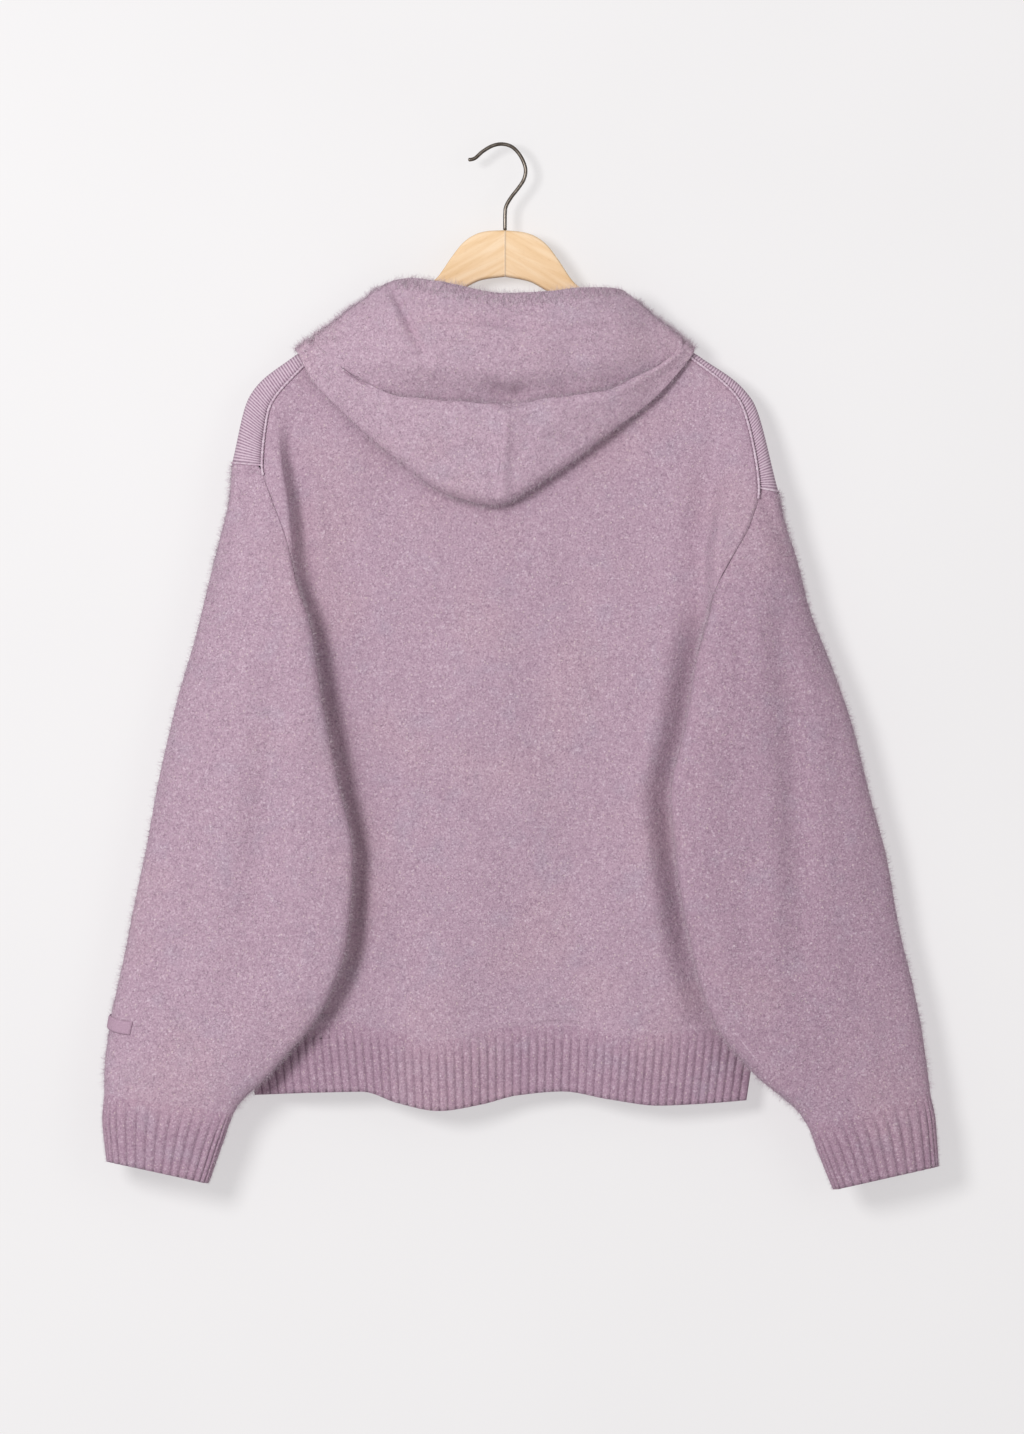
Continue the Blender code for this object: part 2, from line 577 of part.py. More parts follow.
def make_cuff(name, table, cuff, seam, shares, sign):
    """One ribbed cuff, with ribs on the outside over a plain inside."""
    girth = np.linalg.norm(seam - np.roll(seam, 1, axis=0), axis=1).sum()
    ribs = int(round(girth / RIB_PITCH))
    fine = np.arange(2 * ribs) / (2.0 * ribs) - 0.5
    order = np.argsort(shares)
    known = np.concatenate([shares[order], [shares[order][0] + 1.0]])
    points = np.vstack([seam[order], seam[order][:1]])
    wrapped = np.where(fine < known[0], fine + 1.0, fine)
    top = np.stack([np.interp(wrapped, known, points[:, axis]) for axis in range(3)], axis=1)
    top[:, 2] -= SEAM_GAP / 2
    rows = [top]
    for share in (0.5, 1.0):
        row = []
        for k, at in enumerate(fine):
            seam_z = cuff_level(table, cuff, at, SEAM_LEVEL)
            edge_z = cuff_level(table, cuff, at, EDGE_LEVEL)
            row.append(tube_point(table, at, seam_z + (edge_z - seam_z) * share))
        rows.append(row)
    base = np.array(rows)
    out = level(-sign * normals(base, ring=True))
    out[0] = out[1]
    rib = np.where(np.arange(2 * ribs) % 2 == 1, RIB_HEIGHT, 0.0)[None, :, None]
    rise = np.array([RIB_START, 1.0, 1.0])[:, None, None]
    wall(name, base + out * rib * rise, base - out * RIB_WALL, RIB_WOOL, ring=True)


def make_label(sheet, shares):
    """The bare tab: the sleeve's own surface at its outer edge, moved out."""
    order = np.argsort(shares % 1.0)
    around = (shares % 1.0)[order]
    inside = around[(around > LABEL_GIRTH[0]) & (around < LABEL_GIRTH[1])]
    at = np.unique(np.concatenate([[LABEL_GIRTH[0]], inside, [LABEL_GIRTH[1]]]))
    rows = []
    for height in LABEL_Z:
        row = []
        for share in at:
            z = height + LABEL_TILT * (LABEL_GIRTH[1] - share) / (LABEL_GIRTH[1] - LABEL_GIRTH[0])
            columns = []
            for k in order:
                line = sheet[:, k]
                columns.append([np.interp(-z, -line[:, 2], line[:, axis]) for axis in range(3)])
            columns = np.array(columns)
            row.append([np.interp(share, around, columns[:, axis]) for axis in range(3)])
        rows.append(row)
    base = np.array(rows)
    out = -normals(base)
    wall("sleeve_label", base + out * (SEAM_GAP + LABEL_CLOTH), base + out * SEAM_GAP, FINE_WOOL)


# ---------------------------------------------------------------- hood
def hood_sheet(table):
    """The outside of one hood half, section by section from the centre back, and the
    way from there through the cloth, which stays in each section's own plane."""
    side = np.sign(table[1][2])
    counts = [row[9] for row in HOOD_DEPTHS]
    points, _ = stations_to_rows(table, len(HOOD_COLUMNS), counts)
    depths, _ = stations_to_rows(HOOD_DEPTHS, len(HOOD_DEPTH_COLUMNS), counts)
    sections = []
    inwards = []
    for row, deep in zip(points, depths):
        place = dict(zip(HOOD_COLUMNS, row))
        deep = dict(zip(HOOD_DEPTH_COLUMNS, deep))
        turn = math.radians(deep["turn"])
        over = np.array([side * 0.5, 0.0, 0.86])
        out = np.array([0.0, -math.cos(turn), 0.0]) + over * math.sin(turn)
        out = out / np.linalg.norm(out)

        def at(first, second, share, depth, rise=0.0):
            x = place[first + "_x"] * (1 - share) + place[second + "_x"] * share
            z = place[first + "_z"] * (1 - share) + place[second + "_z"] * share
            return np.array([x, deep["under"], z + rise]) + out * depth

        def length(first, second):
            return math.hypot(place[first + "_x"] - place[second + "_x"],
                              place[first + "_z"] - place[second + "_z"])

        tuck, crest, valley = deep["tuck"], place["crest"], place["valley"]
        open_share = 1 - tuck / HOOD_DEPTHS[0][TUCK]
        lead = 1 - EDGE_LEAD / length("neck", "edge")
        tail = min(0.45, EDGE_TAIL / length("edge", "fold"))
        keys = [at("neck", "edge", 0.0, deep["neck"]),
                at("neck", "edge", 0.45, deep["inner"]),
                at("neck", "edge", lead, deep["inner"] + 0.4),
                at("edge", "fold", 0.0, deep["edge"]),
                at("edge", "fold", tail, deep["edge"] * 0.25 + deep["lobe"] * 0.75),
                at("edge", "fold", 0.5 + tail / 3, deep["lobe"] * 0.6 + crest * 0.4),
                at("edge", "fold", 0.9, crest, -2.5 * open_share),
                at("fold", "top", 0.0, crest * 0.7 + valley * 0.3,
                   0.35 * tuck - 1.2 * open_share),
                at("fold", "top", 0.0, valley, 0.6 * open_share - 0.6 * tuck),
                at("fold", "top", 0.08, valley * 0.75 + deep["roll"] * 0.25,
                   0.4 * tuck + 0.5 * open_share),
                at("fold", "top", 0.32, valley * 0.2 + deep["roll"] * 0.8),
                at("fold", "top", 0.62, deep["roll"]),
                at("fold", "top", 1.0, deep["top"])]
        section = along(keys, HOOD_STEPS)
        across = np.cross(out, at("edge", "fold", 0.0, 0.0) - at("neck", "edge", 0.0, 0.0))
        step = np.diff(section, axis=0)
        step /= np.linalg.norm(step, axis=1, keepdims=True)
        into = np.cross(across, np.vstack([step[:1], step[:-1] + step[1:], step[-1:]]))
        into /= np.linalg.norm(into, axis=1, keepdims=True)
        sections.append(section)
        inwards.append(into * np.sign(into[1] @ out) * deep["cloth"])
    return np.array(sections), np.array(inwards)


def make_hood():
    """The two hood halves, which meet at the centre back and the centre front."""
    for name, table, side in (("hood_left", HOOD_LEFT, -1), ("hood_right", HOOD_RIGHT, 1)):
        outer, through = hood_sheet(table)
        outer[[0, -1], :, 0] += side * SEAM_GAP / 2
        wall(name, outer, outer + through, WOOL)


# ---------------------------------------------------------------- hanger
def make_arm(name, side, drop):
    """One wooden arm: its outline filled, given its thickness, and rounded."""
    outline = [(x, z) for x, z in ARM_TOP + ARM_END + ARM_BELOW]
    mesh = bpy.data.meshes.new(name)
    work = bmesh.new()
    corners = []
    for x, z in outline:
        if x == 0:
            along_x = MITRE_X + side * SEAM_GAP / 2
        else:
            along_x = MITRE_X + side * x
        corners.append(work.verts.new((along_x * MM, -WOOD / 2 * MM, (z - drop * x) * MM)))
    face = work.faces.new(corners)
    pushed = bmesh.ops.extrude_face_region(work, geom=[face])
    moved = [item for item in pushed["geom"] if isinstance(item, bmesh.types.BMVert)]
    bmesh.ops.translate(work, verts=moved, vec=(0, WOOD * MM, 0))
    bmesh.ops.recalc_face_normals(work, faces=work.faces)
    work.to_mesh(mesh)
    work.free()
    piece = finish(name, mesh, BEECH, 0.5)
    bevel = piece.modifiers.new("rounded edges", "BEVEL")
    bevel.width = WOOD_EDGE * MM
    bevel.segments = 2
    bevel.limit_method = "ANGLE"
    bevel.angle_limit = math.radians(60)


def make_hook():
    """The hook: one wire from its tip over the crown and down into the mitre."""
    keys = np.array([(x, 0.0, z) for x, z in HOOK])
    length = np.concatenate([[0], np.cumsum(np.linalg.norm(np.diff(keys, axis=0), axis=1))])
    points = smooth(length, keys, np.linspace(0, length[-1], HOOK_POINTS)) * MM
    curve = bpy.data.curves.new("hanger_hook", "CURVE")
    curve.dimensions = "3D"
    curve.bevel_depth = WIRE / 2 * MM
    curve.bevel_resolution = 2
    curve.use_fill_caps = True
    spline = curve.splines.new("POLY")
    spline.points.add(len(points) - 1)
    for place, point in zip(spline.points, points):
        place.co = (*point, 1.0)
    piece = bpy.data.objects.new("hanger_hook", curve)
    curve.materials.append(material("hanger_hook_material", STEEL, 0.35, 1.0))
    collection.objects.link(piece)


# ---------------------------------------------------------------- build
for old in list(bpy.data.objects):
    bpy.data.objects.remove(old, do_unlink=True)
collection = bpy.data.collections.new("wool_hoodie")
bpy.context.scene.collection.children.link(collection)

BACK = back_sheet()
BACK_OUT = normals(BACK)
BACK_OUT[-1] = level(BACK_OUT[-1])
FRONT = front_sheet()
FRONT_OUT = -normals(FRONT)
FRONT_OUT[-1] = level(FRONT_OUT[-1])

make_body()
make_hem()
for word, table, cuff, ridge, edge, rows, sign in (
        ("left", SLEEVE_LEFT, CUFF_LEFT, RIDGE_LEFT, 0, LEFT_ROWS, 1),
        ("right", SLEEVE_RIGHT, CUFF_RIGHT, RIDGE_RIGHT, -1, RIGHT_ROWS, -1)):
    saddle = saddle_sheet(ridge, BACK[:, edge], FRONT[:, edge])
    saddle_out = -sign * normals(saddle)
    saddle_out[:, 0] = BACK_OUT[:SADDLE_END + 1, edge]
    saddle_out[:, -1] = FRONT_OUT[:SADDLE_END + 1, edge]
    make_saddle("shoulder_strip_" + word, saddle, saddle_out)
    ring, shares = armhole(saddle, BACK[:, edge], FRONT[:, edge], rows[:, 10])
    ring_out, _ = armhole(saddle_out, BACK_OUT[:, edge], FRONT_OUT[:, edge], rows[:, 10])
    sheet = sleeve_sheet(table, cuff, ring, shares)
    sleeve_out = sign * normals(sheet, ring=True)
    sleeve_out[0] = facing(sleeve_out[0], ring_out)
    sleeve_out[-1] = level(sleeve_out[-1])
    make_sleeve("sleeve_" + word, sheet, sleeve_out)
    make_cuff("cuff_" + word, table, cuff, sheet[-1], shares, sign)
    if word == "left":
        make_label(sheet, shares)
make_hood()
make_arm("hanger_arm_left", -1, 0.0)
make_arm("hanger_arm_right", 1, ARM_DROP_RIGHT)
make_hook()
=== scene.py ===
# %% [markdown]
# # A wool hoodie on its wooden hanger
#
# The garment hangs flat with its back to the viewer: a brushed mélange hoodie with
# a hood that lies open down the back, fine-knit saddles over the shoulders, ribbed
# hem and cuffs, and a bare tab on one sleeve.  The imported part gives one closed
# solid for each cut piece.  Here each of them gets a finer surface, with its folds,
# ribs, seams and fibres, in the same place.

import json
import math

import bpy
import numpy as np
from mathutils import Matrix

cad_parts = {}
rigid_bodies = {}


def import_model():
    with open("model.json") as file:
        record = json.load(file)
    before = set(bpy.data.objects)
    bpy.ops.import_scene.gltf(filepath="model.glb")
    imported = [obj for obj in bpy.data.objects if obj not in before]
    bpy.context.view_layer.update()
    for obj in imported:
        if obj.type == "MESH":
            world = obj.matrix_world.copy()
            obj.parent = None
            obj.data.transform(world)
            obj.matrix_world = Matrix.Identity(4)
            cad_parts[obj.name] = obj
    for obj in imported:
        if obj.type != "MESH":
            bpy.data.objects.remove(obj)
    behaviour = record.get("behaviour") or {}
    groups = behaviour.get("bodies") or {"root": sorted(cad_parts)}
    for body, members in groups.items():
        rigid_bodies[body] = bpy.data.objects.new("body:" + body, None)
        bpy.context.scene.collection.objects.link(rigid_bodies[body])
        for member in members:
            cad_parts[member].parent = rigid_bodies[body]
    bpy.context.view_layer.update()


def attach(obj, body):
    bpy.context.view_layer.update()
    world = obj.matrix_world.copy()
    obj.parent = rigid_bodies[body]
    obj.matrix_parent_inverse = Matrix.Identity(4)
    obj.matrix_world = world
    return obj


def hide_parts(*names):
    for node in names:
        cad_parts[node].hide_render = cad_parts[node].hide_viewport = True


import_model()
MM = 0.001              # the tables below are in millimetres
CLOTH = 2.6             # brushed knit
FINE_KNIT = 2.0         # shoulder saddles
RIB_WALL = 2.4          # ribbed bands, without the ribs
RIB_HEIGHT = 1.9
RIB_PITCH = 6.7
WIRE = 3.0
WOOD = 12.0

# %% [markdown]
# ## The camera
#
# The photograph is taken square on, from a few metres away, and shows 1147 mm of
# wall from top to bottom.  The lens follows from that height and the distance.

# %% Camera
VIEW_HEIGHT = 1147.2    # of the wall, on the photograph's long side
VIEW_CENTRE = (7.2, -456.8)
VIEW_DISTANCE = 6000.0
SENSOR = 36.0           # on the same side

camera_data = bpy.data.cameras.new("camera")
camera_data.sensor_width = SENSOR
camera_data.lens = SENSOR * VIEW_DISTANCE / VIEW_HEIGHT
camera = bpy.data.objects.new("camera", camera_data)
camera.location = (VIEW_CENTRE[0] * MM, -VIEW_DISTANCE * MM, VIEW_CENTRE[1] * MM)
camera.rotation_euler = (math.radians(90), 0, 0)
bpy.context.scene.collection.objects.link(camera)
bpy.context.scene.camera = camera
print("lens: %.1f mm at %.1f m" % (camera_data.lens, VIEW_DISTANCE * MM))

# %% [markdown]
# ## Smooth lines through a few measured points
#
# Cloth has no straight runs with kinks between them.  Every outline below is a
# table of a few places, and a cubic curve runs through them.  Its slope at each
# place is the harmonic mean of the slopes on both sides, and zero at a turning
# point, so that the curve never swings past a place.

# %% Curves
def hermite(first, second, slope_first, slope_second, step, share):
    """Cubic between two places with given slopes: the four Hermite weights."""
    rest = 1 - share
    return (first * (1 + 2 * share) * rest ** 2 + slope_first * step * share * rest ** 2
            + second * share ** 2 * (3 - 2 * share) + slope_second * step * share ** 2 * -rest)


def slopes(values, step):
    """Harmonic mean of the two neighbouring slopes, zero where they change sign."""
    rise = np.diff(values, axis=-2) / step
    product = rise[..., :-1, :] * rise[..., 1:, :]
    total = rise[..., :-1, :] + rise[..., 1:, :]
    inner = np.where(product > 0, 2 * product / np.where(total == 0, 1, total), 0.0)
    return np.concatenate([rise[..., :1, :], inner, rise[..., -1:, :]], axis=-2)


def through(keys, at, even=False):
    """Curve through keys (..., key, axis) at places counted in keys.  Each span takes
    its own length as its step, or one where the keys are evenly spaced."""
    keys = np.asarray(keys, float)
    span = np.diff(keys, axis=-2)
    step = np.ones_like(span[..., :1]) if even else np.linalg.norm(span, axis=-1, keepdims=True)
    slope = slopes(keys, step)
    i = np.clip(np.floor(at).astype(int), 0, keys.shape[-2] - 2)
    share = (at - i)[:, None]
    return hermite(keys[..., i, :], keys[..., i + 1, :], slope[..., i, :],
                   slope[..., i + 1, :], step[..., i, :], share)


def table_at(knots, values, at):
    """Columns of a table at any array of places along its first column."""
    knots = np.asarray(knots, float)
    values = np.asarray(values, float)
    step = np.diff(knots)[:, None]
    slope = slopes(values, step)
    at = np.clip(np.asarray(at, float), knots[0], knots[-1])
    i = np.clip(np.searchsorted(knots, at, side="right") - 1, 0, len(knots) - 2)
    share = ((at - knots[i]) / step[i, 0])[..., None]
    return hermite(values[i], values[i + 1], slope[i], slope[i + 1], step[i], share)


def fine(counts):
    """Places counted in keys, with so many equal steps in each span."""
    parts = [k + np.arange(count) / count for k, count in enumerate(counts)]
    return np.concatenate(parts + [[float(len(counts))]])


print("curve test:", through([[0, 0], [1, 1], [2, 1]], fine([2, 2]), even=True)[:, 1])

# %% [markdown]
# ## From a grid of points to a piece of cloth
#
# A knitted panel is a thin wall.  The outside is worked out as a grid of points,
# the inside is the same grid moved in by the cloth's thickness, and narrow rims
# close it all round, so that every edge shows the real thickness of the knit.

# %% Walls
collection = bpy.data.collections.new("wool_hoodie")
bpy.context.scene.collection.children.link(collection)
MATERIALS = {}          # name -> material, filled by the cells on finishes
PIECES = {}             # name -> object


def unit(vectors):
    """Each vector divided by its own length."""
    return vectors / np.maximum(np.linalg.norm(vectors, axis=-1, keepdims=True), 1e-9)


def normals(grid, ring=False):
    """Unit normals of a grid: the cross product of its two differences."""
    down = np.gradient(grid, axis=0)
    if ring:
        across = (np.roll(grid, -1, axis=1) - np.roll(grid, 1, axis=1)) / 2
    else:
        across = np.gradient(grid, axis=1)
    return unit(np.cross(down, across))


def quads(rows, columns, ring, first=0, flip=False):
    """Corner numbers of all the faces of a grid of points, row by row."""
    number = first + np.arange(rows * columns).reshape(rows, columns)
    beside = np.roll(number, -1, axis=1) if ring else number[:, 1:]
    number = number if ring else number[:, :-1]
    faces = np.stack([number[:-1], beside[:-1], beside[1:], number[1:]], axis=-1).reshape(-1, 4)
    return faces[:, ::-1] if flip else faces


def new_piece(name, points, faces, uv=None, flat_from=None):
    """A smooth mesh in the hoodie's collection; uv is in metres of cloth, per point.
    Faces from flat_from on are shaded flat, so that a rim doesn't darken its cloth."""
    mesh = bpy.data.meshes.new(name)
    mesh.from_pydata((np.asarray(points) * MM).tolist(), [], faces)
    mesh.shade_smooth()
    if flat_from is not None:
        mesh.polygons.foreach_set("use_smooth", np.arange(len(faces)) < flat_from)
    if uv is not None:
        layer = mesh.uv_layers.new(name="cloth")
        corner = np.empty(len(mesh.loops), np.int32)
        mesh.loops.foreach_get("vertex_index", corner)
        layer.data.foreach_set("uv", (np.asarray(uv)[corner] * MM).ravel().astype(np.float32))
    piece = bpy.data.objects.new(name, mesh)
    collection.objects.link(piece)
    PIECES[name] = piece
    return piece


def point_values(piece, name, values):
    """A number for each point of a piece, which its finish reads by name."""
    layer = piece.data.attributes.new(name, "FLOAT", "POINT")
    layer.data.foreach_set("value", values.astype(np.float32))


def closed(grid):
    """A ring's grid with its first column repeated at the end."""
    return np.concatenate([grid, grid[:, :1]], axis=1)


def sheet_uv(grid):
    """Distance along the rows and the columns of a grid: the knit's own directions."""
    across = np.linalg.norm(np.diff(grid, axis=1), axis=2).mean(axis=0)
    down = np.linalg.norm(np.diff(grid, axis=0), axis=2).mean(axis=1)
    u = np.concatenate([[0], np.cumsum(across)])
    v = np.concatenate([[0], np.cumsum(down)])
    return np.stack(np.broadcast_arrays(u[None, :], -v[:, None]), axis=-1)


def wall(name, outer, inner, ring=False, outwards=1):
    """A closed wall: the outer grid, the inner grid turned round, and the rims.
    outwards is 1 where rows x columns turn outwards by the right hand, else -1."""
    rows, columns = outer.shape[:2]
    count = rows * columns
    uv = sheet_uv(outer).reshape(-1, 2)
    points = np.concatenate([outer.reshape(-1, 3), inner.reshape(-1, 3)])
    number = np.arange(count).reshape(rows, columns)
    faces = [quads(rows, columns, ring), quads(rows, columns, ring, count, flip=True)]
    rims = [(number[0], False), (number[-1], True)]
    if not ring:
        rims += [(number[:, 0], True), (number[:, -1], False)]
    for edge, flip in rims:
        near = edge if ring else edge[:-1]
        far = np.roll(edge, -1) if ring else edge[1:]
        strip = np.stack([near, near + count, far + count, far], axis=-1)
        faces.append(strip[:, ::-1] if flip else strip)
    sheets = 2 * len(faces[0])
    faces = np.concatenate(faces)[:, ::outwards].tolist()
    return new_piece(name, points, faces, np.concatenate([uv, uv]), flat_from=sheets)


def between(at, known, points):
    """Points at given places of a line whose own points lie at the known places."""
    return np.stack([np.interp(at, known, points[:, axis]) for axis in range(3)], axis=-1)


def lapped(sheet, out, band, share, rows=4, sink=0.16):
    """A sheet carried on below its last row, along the band's own unribbed rows at the
    same shares of its width, and sinking a little more with each row, so that the
    ribs rise out of it with no line between them."""
    known = np.linspace(0, 1, band.shape[1])
    more = np.array([between(share, known, band[row]) for row in range(1, rows + 1)])
    more = more - out[-1] * sink * np.arange(1, rows + 1)[:, None, None]
    return (np.concatenate([sheet, more]),
            np.concatenate([out, out[-1:].repeat(rows, axis=0)]))


print("wall helpers ready")

# %% [markdown]
# ## Folds, put in one by one
#
# Brushed wool is thick and folds softly.  Each fold is a path down the cloth, and the
# cloth sinks along it by a bell of the distance, with a low swelling on both sides,
# because the cloth pushed down has to go somewhere.  A slow unevenness keeps the rest
# from looking ironed.  A cloth simulation would invent its own folds, so these are
# placed where the real ones hang.

# %% Folds and unevenness
def beside(points, path):
    """Distance from a path in x and z, and the share of the path's length at the
    nearest place: each run of the path in turn, the smallest distance kept."""
    path = np.asarray(path, float)
    run = np.linalg.norm(np.diff(path, axis=0), axis=1)
    start = np.concatenate([[0], np.cumsum(run)])
    flat = points[..., (0, 2)]
    best = np.full(flat.shape[:-1], np.inf)
    share = np.zeros_like(best)
    for k, length in enumerate(run):
        way = (path[k + 1] - path[k]) / length
        along = np.clip((flat - path[k]) @ way, 0, length)
        gap = np.linalg.norm(flat - path[k] - along[..., None] * way, axis=-1)
        share = np.where(gap < best, (start[k] + along) / start[-1], share)
        best = np.minimum(gap, best)
    return best, share


SWELL, SWELL_AT, SWELL_WIDTH = 0.35, 1.9, 0.8       # in depths and widths of the fold
FADE_POWER = 0.6
WAVES = 9


def fold(points, path, width, depth):
    """How far the cloth sinks at a fold: depth times a bell exp(-(d/width)^2), less a
    low swelling beside it, times a sine that lets the fold run out at its ends."""
    gap, share = beside(points, path)
    away = gap / width
    bell = np.exp(-away ** 2) - SWELL * np.exp(-((away - SWELL_AT) / SWELL_WIDTH) ** 2)
    return -depth * bell * np.sin(np.pi * np.clip(share, 0.02, 0.98)) ** FADE_POWER


def folded(points, folds):
    """How far all the folds of a table move the cloth together."""
    return sum(fold(points, *one) for one in folds)


def unevenness(points, size, height, seed):
    """A sum of sines that run in chance directions over the cloth."""
    chance = np.random.default_rng(seed)
    turn = chance.uniform(0, np.pi, WAVES)
    wave = 2 * np.pi / (size * chance.uniform(0.6, 1.7, WAVES))
    phase = chance.uniform(0, 2 * np.pi, WAVES)
    across = points[..., 0:1] * np.cos(turn) + points[..., 2:3] * np.sin(turn) * 0.6
    return height * np.sin(across * wave + phase).sum(axis=-1) / 3


def press(points, out, amount):
    """Moves points out by an amount, or in where it is less than zero."""
    return points + out * np.asarray(amount)[..., None]


print("fold test:", round(float(fold(np.zeros((1, 3)), ((0, -9), (0, 9)), 5, 2)[0]), 3))

# %% [markdown]
# ## The cut, as it hangs
#
# These tables are the garment's measured outline, the same as in the part's own
# solids.  A station is a place down the side of the body, from the neck over the
# shoulder seam and the armhole down to the hem.

# %% Tables of the body
BODY_COLUMNS = ("z", "edge_x", "edge_y", "crest_x", "crest_y", "groove_x", "groove_y",
                "front_x", "front_y", "front_z", "girth")
BODY_LEFT = np.array((
    (-131, -84, -9.4, -70, -9.7, -55, -10.0, -84, 9.4, -131, 0.0),
    (-178, -161, -9.4, -149, -10.0, -134, -10.2, -161, 9.4, -178, 0.0),
    (-215, -188, -12, -180, -12.5, -168, -10.8, -190, 9.8, -215, 0.0),
    (-256, -192, -25, -177, -27, -166, -12, -201, 9.6, -256, 0.40),
    (-283, -184, -31, -173, -31, -162, -12.5, -199, 9.6, -290, 0.29),
    (-312, -173, -34, -169.5, -32, -160, -13, -198, 8.6, -325, 0.16),
    (-333, -167, -32, -166, -27, -158, -13.5, -197, 7.0, -350, 0.05),
    (-352, -165, -17, -163, -15.5, -156, -13.5, -195.5, 5, -370, -0.04),
    (-372, -176, -10, -170, -11, -156, -13, -194, 3.6, -384, -0.13),
    (-395, -193, -3, -180, -6.5, -152, -11.5, -193, 2.4, -395, -0.24),
    (-475, -206, -2.8, -188, -7, -148, -11, -206, 2.4, -475, 0.0),
    (-590, -222, -2.8, -200, -7, -150, -11, -222, 2.4, -590, 0.0),
    (-697, -208, -2.8, -190, -7, -150, -13, -208, 2.4, -697, 0.0)), float)
BODY_RIGHT = np.array((
    (-134, 84, -9.4, 70, -9.7, 55, -10.0, 84, 9.4, -134, 0.0),
    (-172, 153, -9.4, 141, -10.0, 126, -10.2, 153, 9.4, -172, 0.0),
    (-211, 192, -12, 182, -12.0, 167, -10.8, 194, 9.8, -211, 0.0),
    (-274, 204, -24, 184, -24, 163, -11.5, 209, 9.6, -276, 0.40),
    (-300, 198, -30, 176, -30, 160, -12, 204, 9.6, -305, 0.29),
    (-330, 182, -34, 171, -32, 158, -13, 199, 8.6, -338, 0.16),
    (-356, 168, -32, 166, -27, 156, -13.5, 196, 7.0, -364, 0.05),
    (-374, 164, -17, 162, -15.5, 154, -13.5, 194.5, 5, -384, -0.04),
    (-392, 175, -10, 169, -11, 154, -13, 193, 3.6, -400, -0.13),
    (-412, 192, -3, 179, -6.5, 151, -11.5, 192, 2.4, -412, -0.24),
    (-485, 204, -2.8, 187, -7, 147, -11, 204, 2.4, -485, 0.0),
    (-595, 220, -2.8, 198, -7, 149, -11, 220, 2.4, -595, 0.0),
    (-702, 204, -2.8, 188, -7, 150, -12, 204, 2.4, -702, 0.0)), float)
HEM = np.array((
    (-210, -697, -759, 0.0), (-150, -694, -756.5, -4.0), (-118, -697, -756, -4.5),
    (-88, -704, -765, 1.0), (-54, -711, -771, 6.5), (-18, -704, -766, 2.0),
    (12, -700, -759, -3.5), (50, -699, -756, -5.0), (89, -706, -762, 1.0),
    (130, -709, -767, 5.5), (160, -702, -766, 2.0), (206, -702, -763, 0.0)), float)
HEM_SEAM, HEM_EDGE, HEM_FLUTE = 0, 1, 2
STATION_ROWS = (3, 3, 2, 2, 2, 1, 2, 1, 1, 3, 3, 4)     # of the solid's mesh, per span
STATION_ROW = np.concatenate([[0], np.cumsum(STATION_ROWS)])
STATION_STEPS = (18, 16, 14, 10, 10, 8, 8, 8, 9, 22, 30, 30)    # of the finer grid here
SHOULDER_STATION = 2
SADDLE_STATION = 3      # where the saddle ends and the armhole begins
UNDERARM_STATION = 9
WAVE_STATIONS = (10, 12)        # between them the hem's wave comes in
NECK_SAG_BACK = 5.0
NECK_DROP_FRONT = 72.0
NECK_ROWS = 4.0
CHEST_FALL = 2.0
FALL_ROWS = 12.0
BODY_DEPTH = 10.3
FRONT_DEPTH = 10.4
MIDDLE_KEYS = 5
print("stations down the body:", len(BODY_LEFT))

# %% [markdown]
# ## The back and front panels
#
# The back is one broad panel.  It lies over the hanger at the shoulders, bulges out
# a little over each sleeve head, sinks into a valley beside the sleeve, and ripples
# gently into the hem's flutes.  A row of the grid runs through eleven places from
# edge to edge, and the rows follow the stations.

# %% Body panels
STATIONS = fine(STATION_STEPS)
LEFT, RIGHT = (dict(zip(BODY_COLUMNS, through(table, STATIONS, even=True).T[..., None]))
               for table in (BODY_LEFT, BODY_RIGHT))
ROW = np.interp(STATIONS, np.arange(len(STATION_ROW)), STATION_ROW)[:, None]


def hem_at(x, column):
    """A column of the hem table at any array of x."""
    return table_at(HEM[:, 0], HEM[:, 1:], x)[..., column]


def wave_share():
    """How far a row follows the hem's wave: none at the chest, all of it at the rib."""
    start, end = STATION_ROW[list(WAVE_STATIONS)]
    return np.maximum(0.0, (ROW - start) / (end - start)) ** 1.5


def back_sheet(columns):
    """Outside of the back.  Along a row, x and depth pass through edge, crest, groove,
    the middle, groove, crest, edge; the height is a straight line between the two
    sides, less the neck's sag, and blends into the hem's wave lower down."""
    def row_of(axis, middle):
        names = [place + axis for place in ("edge", "crest", "groove")]
        return np.hstack([LEFT[name] for name in names] + [middle]
                         + [RIGHT[name] for name in names[::-1]])

    share = wave_share()
    middle = (np.arange(MIDDLE_KEYS) + 1) / (MIDDLE_KEYS + 1)
    x_mid = LEFT["groove_x"] + (RIGHT["groove_x"] - LEFT["groove_x"]) * middle
    fall = CHEST_FALL * np.clip((ROW - STATION_ROW[SHOULDER_STATION]) / FALL_ROWS, 0, 1)
    x = row_of("_x", x_mid)
    y = row_of("_y", -(BODY_DEPTH + fall) - share * hem_at(x_mid, HEM_FLUTE))
    across = (x - x[:, :1]) / (x[:, -1:] - x[:, :1])
    straight = LEFT["z"] + (RIGHT["z"] - LEFT["z"]) * across
    sag = NECK_SAG_BACK * np.maximum(0, 1 - ROW / NECK_ROWS) * 4 * across * (1 - across)
    z = (1 - share) * (straight - sag) + share * hem_at(x, HEM_SEAM)
    return through(np.stack([x, y, z], axis=-1), fine(columns))


